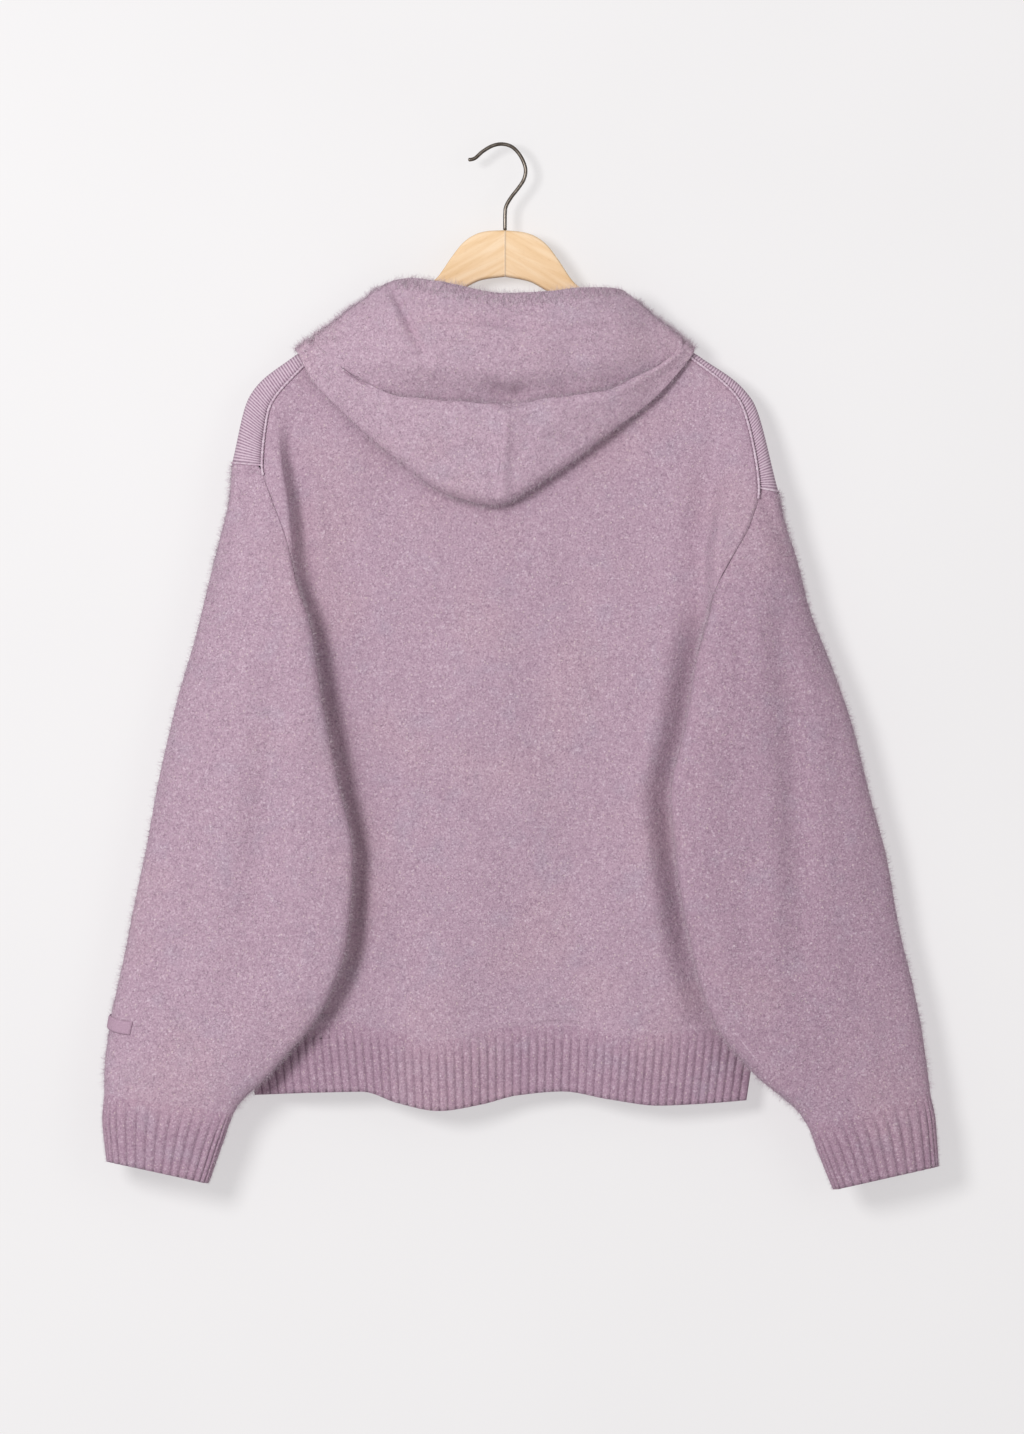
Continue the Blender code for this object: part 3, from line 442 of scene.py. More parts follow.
def front_sheet(columns):
    """Outside of the plain front: its depth bulges from the side seams to a flat
    middle, and the neck edge dips by a power of a sine."""
    share = wave_share()
    across = np.linspace(0, 1, columns)[None, :]
    neck = np.maximum(0, 1 - ROW / (STATION_ROW[UNDERARM_STATION] - 1)) ** 1.5
    x, side, z = (LEFT[name] + (RIGHT[name] - LEFT[name]) * across
                  for name in ("front_x", "front_y", "front_z"))
    sine = np.clip(np.sin(np.pi * across), 0, 1)
    z = z - NECK_DROP_FRONT * neck * sine ** 1.3
    bulge = 1 - (1 - sine) ** 3
    y = side + (FRONT_DEPTH - side) * bulge - share * 0.5 * hem_at(x, HEM_FLUTE) * bulge
    return np.stack([x, y, (1 - share) * z + share * hem_at(x, HEM_SEAM)], axis=-1)


def smooth_step(share):
    """From 0 to 1 with no slope at either end: three squares less two cubes."""
    share = np.clip(share, 0, 1)
    return share ** 2 * (3 - 2 * share)


def lines_in(rows, columns):
    """How many grid lines each point of a panel lies in from its border."""
    row, column = np.arange(rows), np.arange(columns)
    return np.minimum(np.minimum(row, row[::-1])[:, None], np.minimum(column, column[::-1]))


def seam_dip(count, where, depth=0.6):
    """How far a sewn edge is pulled in: depth at the edge, a third of it one line in."""
    lines = np.zeros(count)
    lines[list(where)] = -depth
    lines[[1 if w == 0 else w - 1 for w in where]] = -depth / 3
    return lines


BACK = back_sheet((6, 10) + (16,) * (MIDDLE_KEYS + 1) + (10, 6))
FRONT = front_sheet(84)
BACK_OUT, FRONT_OUT = normals(BACK), -normals(FRONT)
EDGE_LINES = 9          # grid lines over which folds fade out at a panel's border
HIDDEN_RISE = 1.6       # most that the front may rise, so that it stays in its place
BACK_FOLDS = (
    (((-156, -335), (-145, -400), (-138, -443), (-125, -507), (-113, -571), (-118, -635),
      (-131, -675), (-140, -692), (-146, -700)), 11.5, 7.0),
    (((158, -350), (152, -412), (145, -460), (132, -520), (137, -571), (148, -635),
      (158, -675), (167, -697), (171, -704)), 12.0, 8.0),
    (((-174, -226), (-167, -262), (-161, -300), (-155, -350)), 7.0, 4.0),
    (((168, -240), (159, -290), (153, -360)), 10.0, 3.0),
    (((-36, -290), (-40, -450), (-50, -690)), 50.0, -2.6),
    (((62, -300), (66, -460), (40, -690)), 42.0, 1.8),
    (((-104, -300), (-108, -420), (-112, -540)), 24.0, 1.0),
    (((118, -330), (124, -470), (116, -600)), 26.0, -1.2),
    (((-150, -560), (-120, -640), (-108, -700)), 16.0, 1.2),
    (((152, -560), (140, -640), (128, -700)), 15.0, 1.0),
)
FRONT_FOLDS = (
    (((-60, -260), (-70, -450), (-52, -690)), 40.0, 1.8),
    (((44, -280), (50, -460), (64, -690)), 44.0, -2.0),
    (((120, -330), (112, -480), (110, -690)), 26.0, 1.4),
    (((-130, -340), (-126, -500), (-110, -690)), 24.0, -1.2),
)
PANEL_WAVES = (62, 0.75)        # size and height of the unevenness
move = folded(BACK, BACK_FOLDS) + unevenness(BACK, *PANEL_WAVES, seed=3)
BACK = press(BACK, BACK_OUT, move * smooth_step(lines_in(*BACK.shape[:2]) / EDGE_LINES))
move = folded(FRONT, FRONT_FOLDS) + unevenness(FRONT, *PANEL_WAVES, seed=5)
FRONT = press(FRONT, FRONT_OUT, np.minimum(move, HIDDEN_RISE)
              * smooth_step(lines_in(*FRONT.shape[:2]) / EDGE_LINES))
BACK_OUT, FRONT_OUT = normals(BACK), -normals(FRONT)
BACK = press(BACK, BACK_OUT, seam_dip(BACK.shape[1], (0, BACK.shape[1] - 1)))
print("back grid", BACK.shape, "front grid", FRONT.shape)

# %% [markdown]
# ## Ribbed hem
#
# The hem is a one-by-one rib: upright columns of stitches with a narrow ditch
# between two of them.  On the real band the ribs pull it in a little, so it is
# narrower at its lower edge.  Each rib is a rounded wave across the band.  The light
# hardly reaches the ditches between real ribs, and a wave this low can't hide it, so
# each point also keeps how deep it lies in a ditch, and the finish darkens it there.

# %% Hem band
HEM_TAPER = 0.955
HEM_ROWS = 16
RIB_SINK = 0.5          # the band starts this far inside the panel
RIB_SAMPLES = 7         # grid columns to a rib
RIB_START = 2.6         # the ribs reach their height at one over this of the band


def ribbed(base, out, down, turns):
    """A band's outside and inside, its plain form without ribs, and how deep each point
    lies in a ditch, 0 to 1.  The ribs are the size of a sine, raised to a small power,
    which gives broad round ribs with narrow ditches between them."""
    wave = np.clip(np.abs(np.sin(turns / RIB_SAMPLES * np.pi)), 0, 1) ** 0.5
    rise = np.clip(down * RIB_START, 0.0, 1)
    rib = (RIB_HEIGHT * rise * wave - RIB_SINK * (1 - rise))[..., None]
    return {"outer": base + out * rib, "inner": base - out * RIB_WALL, "plain": base,
            "ditch": rise * (1 - wave)}


def hem_band(sheet, out_sign, lift):
    """A band between the panel's lower edge and the hem's edge line, ribs across."""
    seam = sheet[-1]
    ribs = int(round((seam[-1, 0] - seam[0, 0]) / RIB_PITCH))
    x = np.linspace(seam[0, 0], seam[-1, 0], ribs * RIB_SAMPLES + 1)
    y, top = (np.interp(x, seam[:, 0], seam[:, axis]) for axis in (1, 2))
    low = hem_at(x, HEM_EDGE) + lift
    down = np.linspace(0, 1, HEM_ROWS)[:, None]
    base = np.stack([x + x * (HEM_TAPER - 1) * down, y + 0 * down, top + (low - top) * down],
                    axis=-1)
    return ribbed(base, out_sign * normals(base) * (1, 1, 0), down, np.arange(len(x)))


def band_wall(name, band, outwards, ring=False):
    """The band as a piece, with how deep its outside lies in the ditches stored for the painted
    shade there.
    """
    piece = wall(name, band["outer"], band["inner"], ring, outwards)
    ditch = band["ditch"].ravel()
    point_values(piece, "ditch", np.concatenate([ditch, 0 * ditch]))


BANDS = {"back_hem": hem_band(BACK, 1, 0.0), "front_hem": hem_band(FRONT, -1, 1.5)}
band_wall("back_hem", BANDS["back_hem"], 1)
band_wall("front_hem", BANDS["front_hem"], -1)
for name, sheet, out, way in (("back", BACK, BACK_OUT, 1), ("front", FRONT, FRONT_OUT, -1)):
    share = (sheet[-1, :, 0] - sheet[-1, 0, 0]) / (sheet[-1, -1, 0] - sheet[-1, 0, 0])
    lap, lap_out = lapped(sheet, out, BANDS[name + "_hem"]["plain"], share)
    wall(name + "_panel", lap, lap - CLOTH * lap_out, outwards=way)
print("hem bands made")

# %% [markdown]
# ## Shoulder saddles
#
# A narrow strip of fine knit bridges each shoulder between the back panel, the
# front panel and the hood.  Its rows of stitches run across, and it has no halo.

# %% Saddles
# the strip's ridge: row of the solid's mesh, x, y, z
RIDGE_LEFT = ((0, -88, 0, -124.2), (2, -141, 0, -154.4), (3, -167, 0, -168.2),
              (6, -203, -2, -201), (8, -216.4, -8, -254))
RIDGE_RIGHT = ((0, 88, 0, -127), (2, 134, 0, -154.8), (3, 157, 0, -168.4),
               (6, 199, -2, -203), (8, 220.0, -8, -277))
ARCH = 0.62             # power of the arch: the lower, the squarer
SADDLE_COLUMNS = 12     # from each seam to the ridge


def saddle_sheet(ridge_table, back_edge, front_edge, row, steps):
    """An arch from the back seam over the ridge to the front seam: sine and cosine of
    the turn, raised to a power that makes the arch squarer."""
    table = np.array(ridge_table, float)
    ridge = table_at(table[:, 0], table[:, 1:], row)[:, None, :]
    turn = np.linspace(0, np.pi / 2, steps)[None, :, None]
    lift, lean = np.sin(turn) ** ARCH, np.clip(np.cos(turn), 0, 1) ** ARCH
    halves = []
    for edge in (back_edge, front_edge):
        edge = edge[:, None, :]
        half = edge + (ridge - edge) * lift
        half[..., 1:2] = ridge[..., 1:2] + (edge[..., 1:2] - ridge[..., 1:2]) * lean
        halves.append(half)
    return np.concatenate([halves[0], halves[1][:, -2::-1]], axis=1)


SADDLE_ROWS = int(np.searchsorted(STATIONS, SADDLE_STATION)) + 1
UNDERARM_ROW = int(np.searchsorted(STATIONS, UNDERARM_STATION))
SADDLES = {}
for side, ridge, edge, sign in (("left", RIDGE_LEFT, 0, 1), ("right", RIDGE_RIGHT, -1, -1)):
    sheet = saddle_sheet(ridge, BACK[:SADDLE_ROWS, edge], FRONT[:SADDLE_ROWS, edge],
                         ROW[:SADDLE_ROWS, 0], SADDLE_COLUMNS)
    SADDLES[side] = sheet
    wall("saddle_" + side, sheet, sheet + sign * FINE_KNIT * normals(sheet), outwards=-sign)
print("saddle grid", sheet.shape)

# %% [markdown]
# ## Sleeves
#
# A sleeve hangs as a flattened tube in front of the body's side.  Its section is an
# ellipse with rounded ends.  At the top its ring is the armhole itself, and it
# swells into its own form over the first hand's breadth.

# %% Sleeve tables
# height; x of the outer and inner edge; depth of the face and the rear; how far it leans
SLEEVE_LEFT = np.array((
    (-254, -216.4, -170, -27, 10.5, 0.0), (-283, -218.6, -166, -32, 9.5, 0.0),
    (-315, -226, -164, -37, 7.5, 1.0), (-347, -234, -161, -41, -4.0, 4.0),
    (-395, -246, -151, -44, -14.0, 6.5), (-443, -260, -144, -45, -15.5, 7.0),
    (-507, -275, -131, -44, -14.5, 6.5), (-571, -287, -119, -43, -14.5, 6.5),
    (-635, -299, -124, -42, -14.5, 6.5), (-675, -308, -137, -42, -14.5, 6.0),
    (-699, -313.4, -150, -41, -14.5, 5.5), (-738, -318, -182, -39, -13.5, 3.5),
    (-768, -318, -212, -37, -12.5, 2.0), (-830, -312, -237, -36, -12.5, 1.0)), float)
SLEEVE_RIGHT = np.array((
    (-276, 220, 175, -29, 10.5, 0.0), (-300, 225, 168, -33, 9.5, 0.0),
    (-330, 234.5, 165, -37, 7.5, 1.5), (-365, 243, 160, -42, -4.0, 5.0),
    (-412, 261, 153, -44, -14.0, 7.5), (-460, 277, 146, -45, -15.5, 8.0),
    (-520, 293, 133.5, -44, -14.5, 7.5), (-571, 307, 138, -43, -14.5, 7.5),
    (-635, 319, 149, -42, -14.5, 7.5), (-675, 328, 159, -42, -14.5, 7.0),
    (-707, 334, 172, -41, -14.5, 6.5), (-742, 339, 202, -39, -13.5, 4.5),
    (-775, 343, 238, -37, -12.5, 3.0), (-834, 347, 265, -36, -12.5, 2.0)), float)
CUFF_LEFT = (-754, -769, -811, -828)     # seam outside, inside; edge outside, inside
CUFF_RIGHT = (-753, -780, -815, -833)
EDGE_ROUND = 8.0
FADE = 75.0             # way down the sleeve over which the armhole's form is lost
FADE_BEHIND = 36.0
FRONT_EDGE = -0.42      # share of the girth where the front panel's edge begins
TYPICAL_CORE = (52.0, 6.0)      # ellipse of a middling section, without rounding
FALL_BACK = 0.35        # how much more the outer edge falls back than the lean alone
print("sleeve stations:", len(SLEEVE_LEFT), len(SLEEVE_RIGHT))


# %% Sleeve form
def rounded(angle, core_x, core_y, rounding):
    """An ellipse with a round edge laid along its normal, and that normal's parts."""
    nx, ny = np.cos(angle) / core_x, np.sin(angle) / core_y
    size = np.hypot(nx, ny)
    return (core_x * np.cos(angle) + rounding * nx / size,
            core_y * np.sin(angle) + rounding * ny / size, nx, ny)


def turn_at(share):
    """Angle round a middling section at a share of its girth, which counts half by
    length and half by turning, so that the folded edges get points of their own."""
    angle = np.linspace(0, 2 * np.pi, 721)
    x, y, nx, ny = rounded(angle, *TYPICAL_CORE, EDGE_ROUND)
    step = np.hypot(np.diff(x), np.diff(y))
    turning = np.abs(np.diff(np.unwrap(np.arctan2(ny, nx))))
    measure = np.concatenate([[0], np.cumsum(step / step.sum() + 0.5 * turning / turning.sum())])
    return np.interp(share % 1.0, measure / measure[-1], angle)


def tube(table, share, z):
    """Points of the flattened tube at shares of its girth and heights.  With u from -1
    at the outer edge to 1 at the inner one, it leans by lean times u less FALL_BACK
    (1 - u)^2, so that the outer edge falls back to the wall."""
    outer, inner, face, rear, lean = np.moveaxis(table_at(-table[:, 0], table[:, 1:], -z), -1, 0)
    half = np.abs(inner - outer) / 2
    depth = (rear - face) / 2
    rounding = np.minimum(EDGE_ROUND, 0.6 * depth)
    x, y, _, _ = rounded(turn_at(share), half - rounding, depth - rounding, rounding)
    u = x / half
    return np.stack([(inner + outer) / 2 + np.sign(inner - outer) * x,
                     (face + rear) / 2 - y - lean * (u - FALL_BACK * (1 - u) ** 2),
                     z + 0 * x], axis=-1)


def cuff_level(table, cuff, share, which):
    """Height of the cuff's seam (0) or edge (2): a straight line from the outside to
    the inside of the sleeve."""
    lowest = cuff[which + 1]
    point = tube(table, share, np.full(np.shape(share), float(lowest)))
    outer, inner = table_at(-table[:, 0], table[:, 1:3], -lowest)
    return cuff[which] + (lowest - cuff[which]) * (point[..., 0] - outer) / (inner - outer)


def armhole(saddle, back_edge, front_edge, girth, share):
    """The armhole ring at shares of the girth: over the saddle's end, down the back
    edge, under the arm and up the front edge."""
    over = saddle[-1]
    middle = len(over) // 2
    span = slice(SADDLE_ROWS - 1, UNDERARM_ROW + 1)
    parts = [(over[middle:0:-1], np.linspace(0.5, girth[SADDLE_ROWS - 1], middle + 1)[:-1]),
             (back_edge[span], girth[span])]
    front = front_edge[UNDERARM_ROW - 1:SADDLE_ROWS - 1:-1]
    parts.append((front, np.linspace(girth[UNDERARM_ROW], FRONT_EDGE, len(front) + 2)[1:-1]))
    parts.append((over[:middle - 1:-1], np.linspace(FRONT_EDGE, -0.5, middle + 1)))
    ring = np.concatenate([points for points, _ in parts])[::-1]
    known = np.concatenate([shares for _, shares in parts])[::-1]
    return between(share, known, ring)


def sleeve_sheet(table, cuff, ring, share, rows):
    """From the armhole ring down to the cuff.  The ring's offset from the tube fades
    out below it by a smooth step, over a longer way on the visible face, and the two
    ways pass into each other by a sine round the sleeve."""
    start = tube(table, share, ring[:, 2])
    seam = cuff_level(table, cuff, share, 0)
    down = np.linspace(0, 1, rows)[:, None] ** 1.1
    z = ring[:, 2] + (seam - ring[:, 2]) * down
    fade = FADE_BEHIND + (FADE - FADE_BEHIND) * (0.5 + 0.5 * np.sin(2 * np.pi * share))
    left = np.clip((ring[:, 2] - z) / fade, 0, 1)
    pull = ((1 - left) ** 2 * (1 + 2 * left))[..., None]
    points = tube(table, share + 0 * z, z)
    points[..., :2] += pull * (ring[:, :2] - start[:, :2])
    return points


SIDES = {"left": (SLEEVE_LEFT, CUFF_LEFT, 0, 1), "right": (SLEEVE_RIGHT, CUFF_RIGHT, -1, -1)}
SLEEVE_ROWS, SLEEVE_COLUMNS = 156, 116
SHARE = np.linspace(0.5, -0.5, SLEEVE_COLUMNS + 1)[:-1]
SEAM_LINES = 12         # grid lines over which folds fade out at a sleeve's ends
FACE_SPREAD = 1.6       # how fast the folds of one face fade out round its edges
SLEEVES, SLEEVES_OUT = {}, {}
SEEN_FOLDS = {
    "left": ((((-206, -400), (-218, -520), (-230, -640)), 18.0, -3.2),
             (((-182, -420), (-186, -520), (-196, -620)), 13.0, 2.8),
             (((-262, -420), (-276, -500), (-286, -560)), 15.0, 1.8),
             (((-180, -640), (-226, -690), (-260, -745)), 15.0, 1.6),
             (((-222, -330), (-238, -390), (-250, -440)), 12.0, 1.4)),
    "right": ((((218, -350), (228, -450), (236, -560), (238, -690)), 11.0, 3.6),
              (((262, -430), (280, -520), (290, -600)), 15.0, -2.0),
              (((186, -480), (184, -560), (200, -650)), 12.0, 1.6),
              (((210, -640), (250, -690), (280, -745)), 15.0, 1.4)),
}
HIDDEN_FOLDS = {
    "left": ((((-190, -360), (-204, -470), (-220, -600)), 13.0, 1.8),
             (((-244, -420), (-258, -540), (-262, -680)), 14.0, -1.2)),
    "right": ((((206, -370), (214, -480), (230, -610)), 13.0, 1.8),
              (((262, -430), (274, -550), (284, -690)), 14.0, -1.2)),
}
for side, (table, cuff, edge, sign) in SIDES.items():
    girth = (LEFT if side == "left" else RIGHT)["girth"][:, 0]
    ring = armhole(SADDLES[side], BACK[:, edge], FRONT[:, edge], girth, SHARE)
    sheet = sleeve_sheet(table, cuff, ring, SHARE, SLEEVE_ROWS)
    out = sign * normals(sheet, ring=True)
    row = np.arange(len(sheet))
    calm = np.clip(np.minimum(row, row[::-1]) / SEAM_LINES, 0, 1)[:, None]
    move = 0
    for folds, way in ((SEEN_FOLDS, -1), (HIDDEN_FOLDS, 1)):
        facing = np.clip(way * out[..., 1] * FACE_SPREAD, 0, 1)
        move = move + folded(sheet, folds[side]) * facing
    move = move + unevenness(sheet, 50, 0.5, seed=11 if side == "left" else 12)
    sheet = press(sheet, out, move * calm ** 2 * (3 - 2 * calm))
    SLEEVES[side] = press(sheet, out, seam_dip(len(sheet), (0,))[:, None])
    SLEEVES_OUT[side] = sign * normals(SLEEVES[side], ring=True)
print("sleeve grid", sheet.shape)


# %% Cuffs
CUFF_ROWS = 18


def cuff_band(table, cuff, seam, sign):
    """The cuff from its seam to its edge, with ribs round it.  It starts on the sleeve's
    last row and takes the tube's own form over its first fifth."""
    girth = np.linalg.norm(seam - np.roll(seam, 1, axis=0), axis=1).sum()
    ribs = int(round(girth / RIB_PITCH))
    turns = np.arange(ribs * RIB_SAMPLES)
    share = 0.5 - turns / len(turns)
    points = np.vstack([seam[::-1], seam[-1:]])
    known = np.concatenate([SHARE[::-1], [SHARE[-1] + 1.0]])
    top = between(np.where(share < known[0], share + 1.0, share), known, points)
    down = np.linspace(0, 1, CUFF_ROWS)[:, None]
    first, last = (cuff_level(table, cuff, share, which) for which in (0, 2))
    base = tube(table, share + 0 * down, first + (last - first) * down)
    base = base + np.clip(1 - down * 5, 0, 1)[..., None] * (top - base[0])
    return ribbed(base, sign * normals(base, ring=True) * (1, 1, 0), down, turns)


for side, (table, cuff, _, sign) in SIDES.items():
    name = "cuff_band_" + side
    BANDS[name] = cuff_band(table, cuff, SLEEVES[side][-1], sign)
    band_wall(name, BANDS[name], sign, ring=True)
    lap, lap_out = lapped(SLEEVES[side], SLEEVES_OUT[side], closed(BANDS[name]["plain"]),
                          0.5 - SHARE)
    wall("sleeve_body_" + side, lap, lap - CLOTH * lap_out, ring=True, outwards=sign)
print("cuffs made")

# %% [markdown]
# ## The hood
#
# The hood hangs open down the back.  From the neck seam its inner layer runs down
# to the lowest fold, turns up into the visible lobe, dips into a deep fold, and
# comes out again as the thick roll under the face edge.  It goes round the
# shoulders and closes under the chin.  Each section is a smooth line through
# thirteen places, and the sections follow each other round the neck.

# %% Hood tables
HOOD_COLUMNS = ("neck_x", "neck_z", "edge_x", "edge_z", "fold_x", "fold_z", "top_x", "top_z",
                "crest", "valley")
HOOD_LEFT = np.array((
    (-40, -137, -44, -279.5, -40, -207, -34, -113.5, 27, 13),
    (-68, -134, -92, -246, -80, -202.5, -54, -109.5, 24, 14),
    (-82, -131, -128, -214, -114, -189, -68, -109, 19, 17.5),
    (-86, -128.5, -151, -190, -138, -172, -84, -112.5, 14, 14.5),
    (-88, -126.0, -162, -169.5, -147, -162, -98, -120, 7.6, 7.6),
    (-88, -124.6, -164, -166.5, -147, -158, -99, -121.5, 7.0, 7.0),
    (-88, -125.4, -160, -168, -145, -160, -92, -124, 8.0, 8.0),
    (-80, -140, -128, -187, -116, -176, -80, -134, 10.5, 10.5),
    (-62, -160, -86, -206, -80, -190, -66, -152, 10.5, 10.5),
    (0, -203, 0, -232, 0, -216, 0, -192, 9.5, 9.5)), float)
HOOD_RIGHT = np.array((
    (40, -138, 40, -263.5, 40, -204.5, 36, -118, 27, 13),
    (68, -136, 84, -231, 80, -198.5, 62, -115, 25, 12),
    (82, -134, 121, -203, 108, -186, 80, -116.5, 19, 11),
    (86, -131.5, 139, -184, 130, -174, 92, -120, 13, 9.5),
    (88, -129.0, 150, -169.5, 140, -163.5, 104, -130, 8.0, 7.6),
    (88, -127.4, 151, -166.2, 139, -160, 104, -131, 7.0, 7.0),
    (88, -128.4, 148, -168, 135, -161, 96, -131, 8.0, 8.0),
    (80, -143, 122, -188, 110, -178, 82, -139, 10.5, 10.5),
    (62, -162, 84, -206, 78, -190, 66, -154, 10.5, 10.5),
    (0, -203, 0, -232, 0, -216, 0, -192, 9.5, 9.5)), float)
HOOD_CENTRE = np.array(((0, -138, -7, -288, 2, -209, 0, -119.5, 28, 12),), float)
HOOD_DEPTH_COLUMNS = ("under", "turn", "neck", "inner", "edge", "lobe", "roll", "top",
                      "tuck", "cloth")
HOOD_DEPTHS = np.array((
    (-10.0, 0, 0.6, 4.0, 12, 24, 36, 25, 5.0, 2.2),
    (-10.0, 0, 0.6, 4.0, 11.5, 23, 36, 25, 5.0, 2.2),
    (-10.0, 0, 0.6, 4.0, 11, 20, 33, 23, 4.0, 2.2),
    (-10.0, 8, 0.8, 3.6, 9, 15, 25, 16, 2.0, 2.0),
    (-10.0, 25, 1.2, 3.2, 7, 10.5, 14, 11, 0.5, 1.7),
    (-9.8, 50, 1.4, 2.6, 5.2, 7.6, 8.2, 7.4, 0.0, 1.2),
    (0.0, 90, 1.0, 1.6, 4.4, 7.0, 7.2, 6.6, 0.0, 1.2),
    (10.2, 130, 1.4, 2.6, 5.2, 8.0, 8.2, 7.6, 0.0, 1.2),
    (10.6, 170, 1.2, 2.8, 6.6, 10.5, 11, 10, 0.0, 1.7),
    (10.6, 180, 1.0, 2.6, 6.5, 10.5, 11, 10, 0.0, 2.0),
    (10.6, 180, 0.8, 2.4, 6.0, 9.5, 10, 9, 0.0, 2.0)), float)
DEEPEST_TUCK = HOOD_DEPTHS[:, HOOD_DEPTH_COLUMNS.index("tuck")].max()
EDGE_LEAD = 9.0         # how far the lowest fold is rounded, below it and above
EDGE_TAIL = 7.0
SHOULDER_WAY = (0.5, 0.86)      # across and up: the shoulder slopes by 30 degrees
HOOD_AROUND = (18, 18, 16, 12, 10, 8, 7, 7, 9, 12)      # from the centre back to the front
HOOD_ALONG = (14, 12, 4, 7, 12, 9, 7, 7, 7, 12, 12, 14)
TURN_UP = sum(HOOD_ALONG[:3])   # the column where the hidden layer ends
HOOD_LAP = 0.4          # the left half's edge lies this far under the right one's
print("hood sections:", 2 * sum(HOOD_AROUND) + 1, "points in each:", sum(HOOD_ALONG) + 1)


# %% Hood form
def hood_sheet():
    """Outside of the whole hood and the way from there through the cloth, from the left
    of the front round the back to the right.  A place of a section is a share of the
    way between two outline points, moved out by a depth; out turns from the back over
    the shoulder to the front."""
    table = np.concatenate([HOOD_LEFT[::-1], HOOD_CENTRE, HOOD_RIGHT])
    depths = np.concatenate([HOOD_DEPTHS[:0:-1], HOOD_DEPTHS])
    around = fine(HOOD_AROUND[::-1] + HOOD_AROUND)
    place = dict(zip(HOOD_COLUMNS, through(table, around, even=True).T))
    deep = dict(zip(HOOD_DEPTH_COLUMNS, through(depths, around, even=True).T))
    turn = np.radians(deep["turn"])
    side = np.sign(around - len(HOOD_AROUND))
    across, up = SHOULDER_WAY
    out = unit(np.stack([side * across * np.sin(turn), -np.cos(turn), up * np.sin(turn)],
                        axis=-1))

    def at(first, second, share, depth, rise=0.0):
        x = place[first + "_x"] * (1 - share) + place[second + "_x"] * share
        z = place[first + "_z"] * (1 - share) + place[second + "_z"] * share
        return np.stack([x, deep["under"], z + rise], axis=-1) + out * np.asarray(depth)[..., None]

    def length(first, second):
        return np.hypot(place[first + "_x"] - place[second + "_x"],
                        place[first + "_z"] - place[second + "_z"])

    zero = 0 * around
    tuck, crest, valley = deep["tuck"], place["crest"], place["valley"]
    open_share = 1 - tuck / DEEPEST_TUCK
    lead = 1 - EDGE_LEAD / length("neck", "edge")
    tail = np.minimum(0.45, EDGE_TAIL / length("edge", "fold"))
    keys = np.stack([
        at("neck", "edge", 0.0, deep["neck"]),
        at("neck", "edge", 0.45, deep["inner"]),
        at("neck", "edge", lead, deep["inner"] + 0.4),
        at("edge", "fold", 0.0, deep["edge"]),
        at("edge", "fold", tail, deep["edge"] * 0.25 + deep["lobe"] * 0.75),
        at("edge", "fold", 0.5 + tail / 3, deep["lobe"] * 0.6 + crest * 0.4),
        at("edge", "fold", 0.9, crest, -2.5 * open_share),
        at("fold", "top", 0.0, crest * 0.7 + valley * 0.3,
           0.35 * tuck - 1.2 * open_share),
        at("fold", "top", 0.0, valley, 0.6 * open_share - 0.6 * tuck),
        at("fold", "top", 0.08, valley * 0.75 + deep["roll"] * 0.25,
           0.4 * tuck + 0.5 * open_share),
        at("fold", "top", 0.32, valley * 0.2 + deep["roll"] * 0.8),
        at("fold", "top", 0.62, deep["roll"]),
        at("fold", "top", 1.0, deep["top"])], axis=1)
    grid = through(keys, fine(HOOD_ALONG))
    across = np.cross(out, at("edge", "fold", 0.0, zero) - at("neck", "edge", 0.0, zero))
    into = unit(np.cross(across[:, None, :], np.gradient(grid, axis=1)))
    into *= np.sign((into[:, 1] * out).sum(axis=-1))[:, None, None] * deep["cloth"][:, None, None]
    return grid, into


HOOD, HOOD_IN = hood_sheet()
CENTRE_BACK = sum(HOOD_AROUND)
HOOD_OUT = unit(-HOOD_IN)
HOOD_FOLDS = (
    (((-91, -107), (-83, -124), (-73, -146), (-60, -172)), 4.2, 5.0),
    (((-102, -114), (-92, -136), (-80, -160)), 8.0, -2.0),
    (((-132, -170), (-120, -182), (-106, -197)), 6.0, 1.5),
    (((-10, -194), (6, -204), (20, -198)), 7.0, 5.0),
    (((3, -210), (1, -248), (0, -290)), 4.0, -1.8),
    (((-18, -214), (-14, -240), (-6, -270)), 7.0, 0.9),
    (((26, -206), (18, -236), (8, -268)), 7.0, 0.9),
    (((-88, -138), (-30, -141), (46, -150), (84, -146)), 3.6, 3.0),
    (((-64, -150), (-20, -176), (10, -196)), 14.0, 1.5),
    (((86, -134), (60, -160), (30, -184)), 15.0, 1.8),
    (((-108, -218), (-60, -244), (-14, -262)), 12.0, 0.9),
    (((18, -262), (56, -240), (96, -204)), 13.0, 1.0),
)
column = np.arange(HOOD.shape[1])
seen = np.clip((column - TURN_UP) / 8, 0, 1) * np.clip(column[::-1] / 5, 0, 1)
move = folded(HOOD, HOOD_FOLDS) * np.clip(HOOD_OUT[..., 1] * -1.5, 0, 1)
move = move + unevenness(HOOD, 40, 0.6, seed=21)
HOOD = press(HOOD, HOOD_OUT, move * seen)
for side, half in (("left", slice(0, CENTRE_BACK + 2)), ("right", slice(CENTRE_BACK, None))):
    sheet = HOOD[half].copy()
    if side == "left":
        sheet[-1] -= HOOD_OUT[CENTRE_BACK + 1] * HOOD_LAP
    wall("hood_half_" + side, sheet, sheet + HOOD_IN[half], outwards=-1)
print("hood grid", HOOD.shape)

# %% [markdown]
# ## Seams that stand up
#
# The back edge of each saddle is linked to the back panel with a chain of stitches
# that stands up as a light cord, and so is its end at the sleeve.  The seams under the
# arms are fine lines of yarn in the nap.  Each is a thin round tube along a path on
# the cloth, and the chain swells once for every stitch.

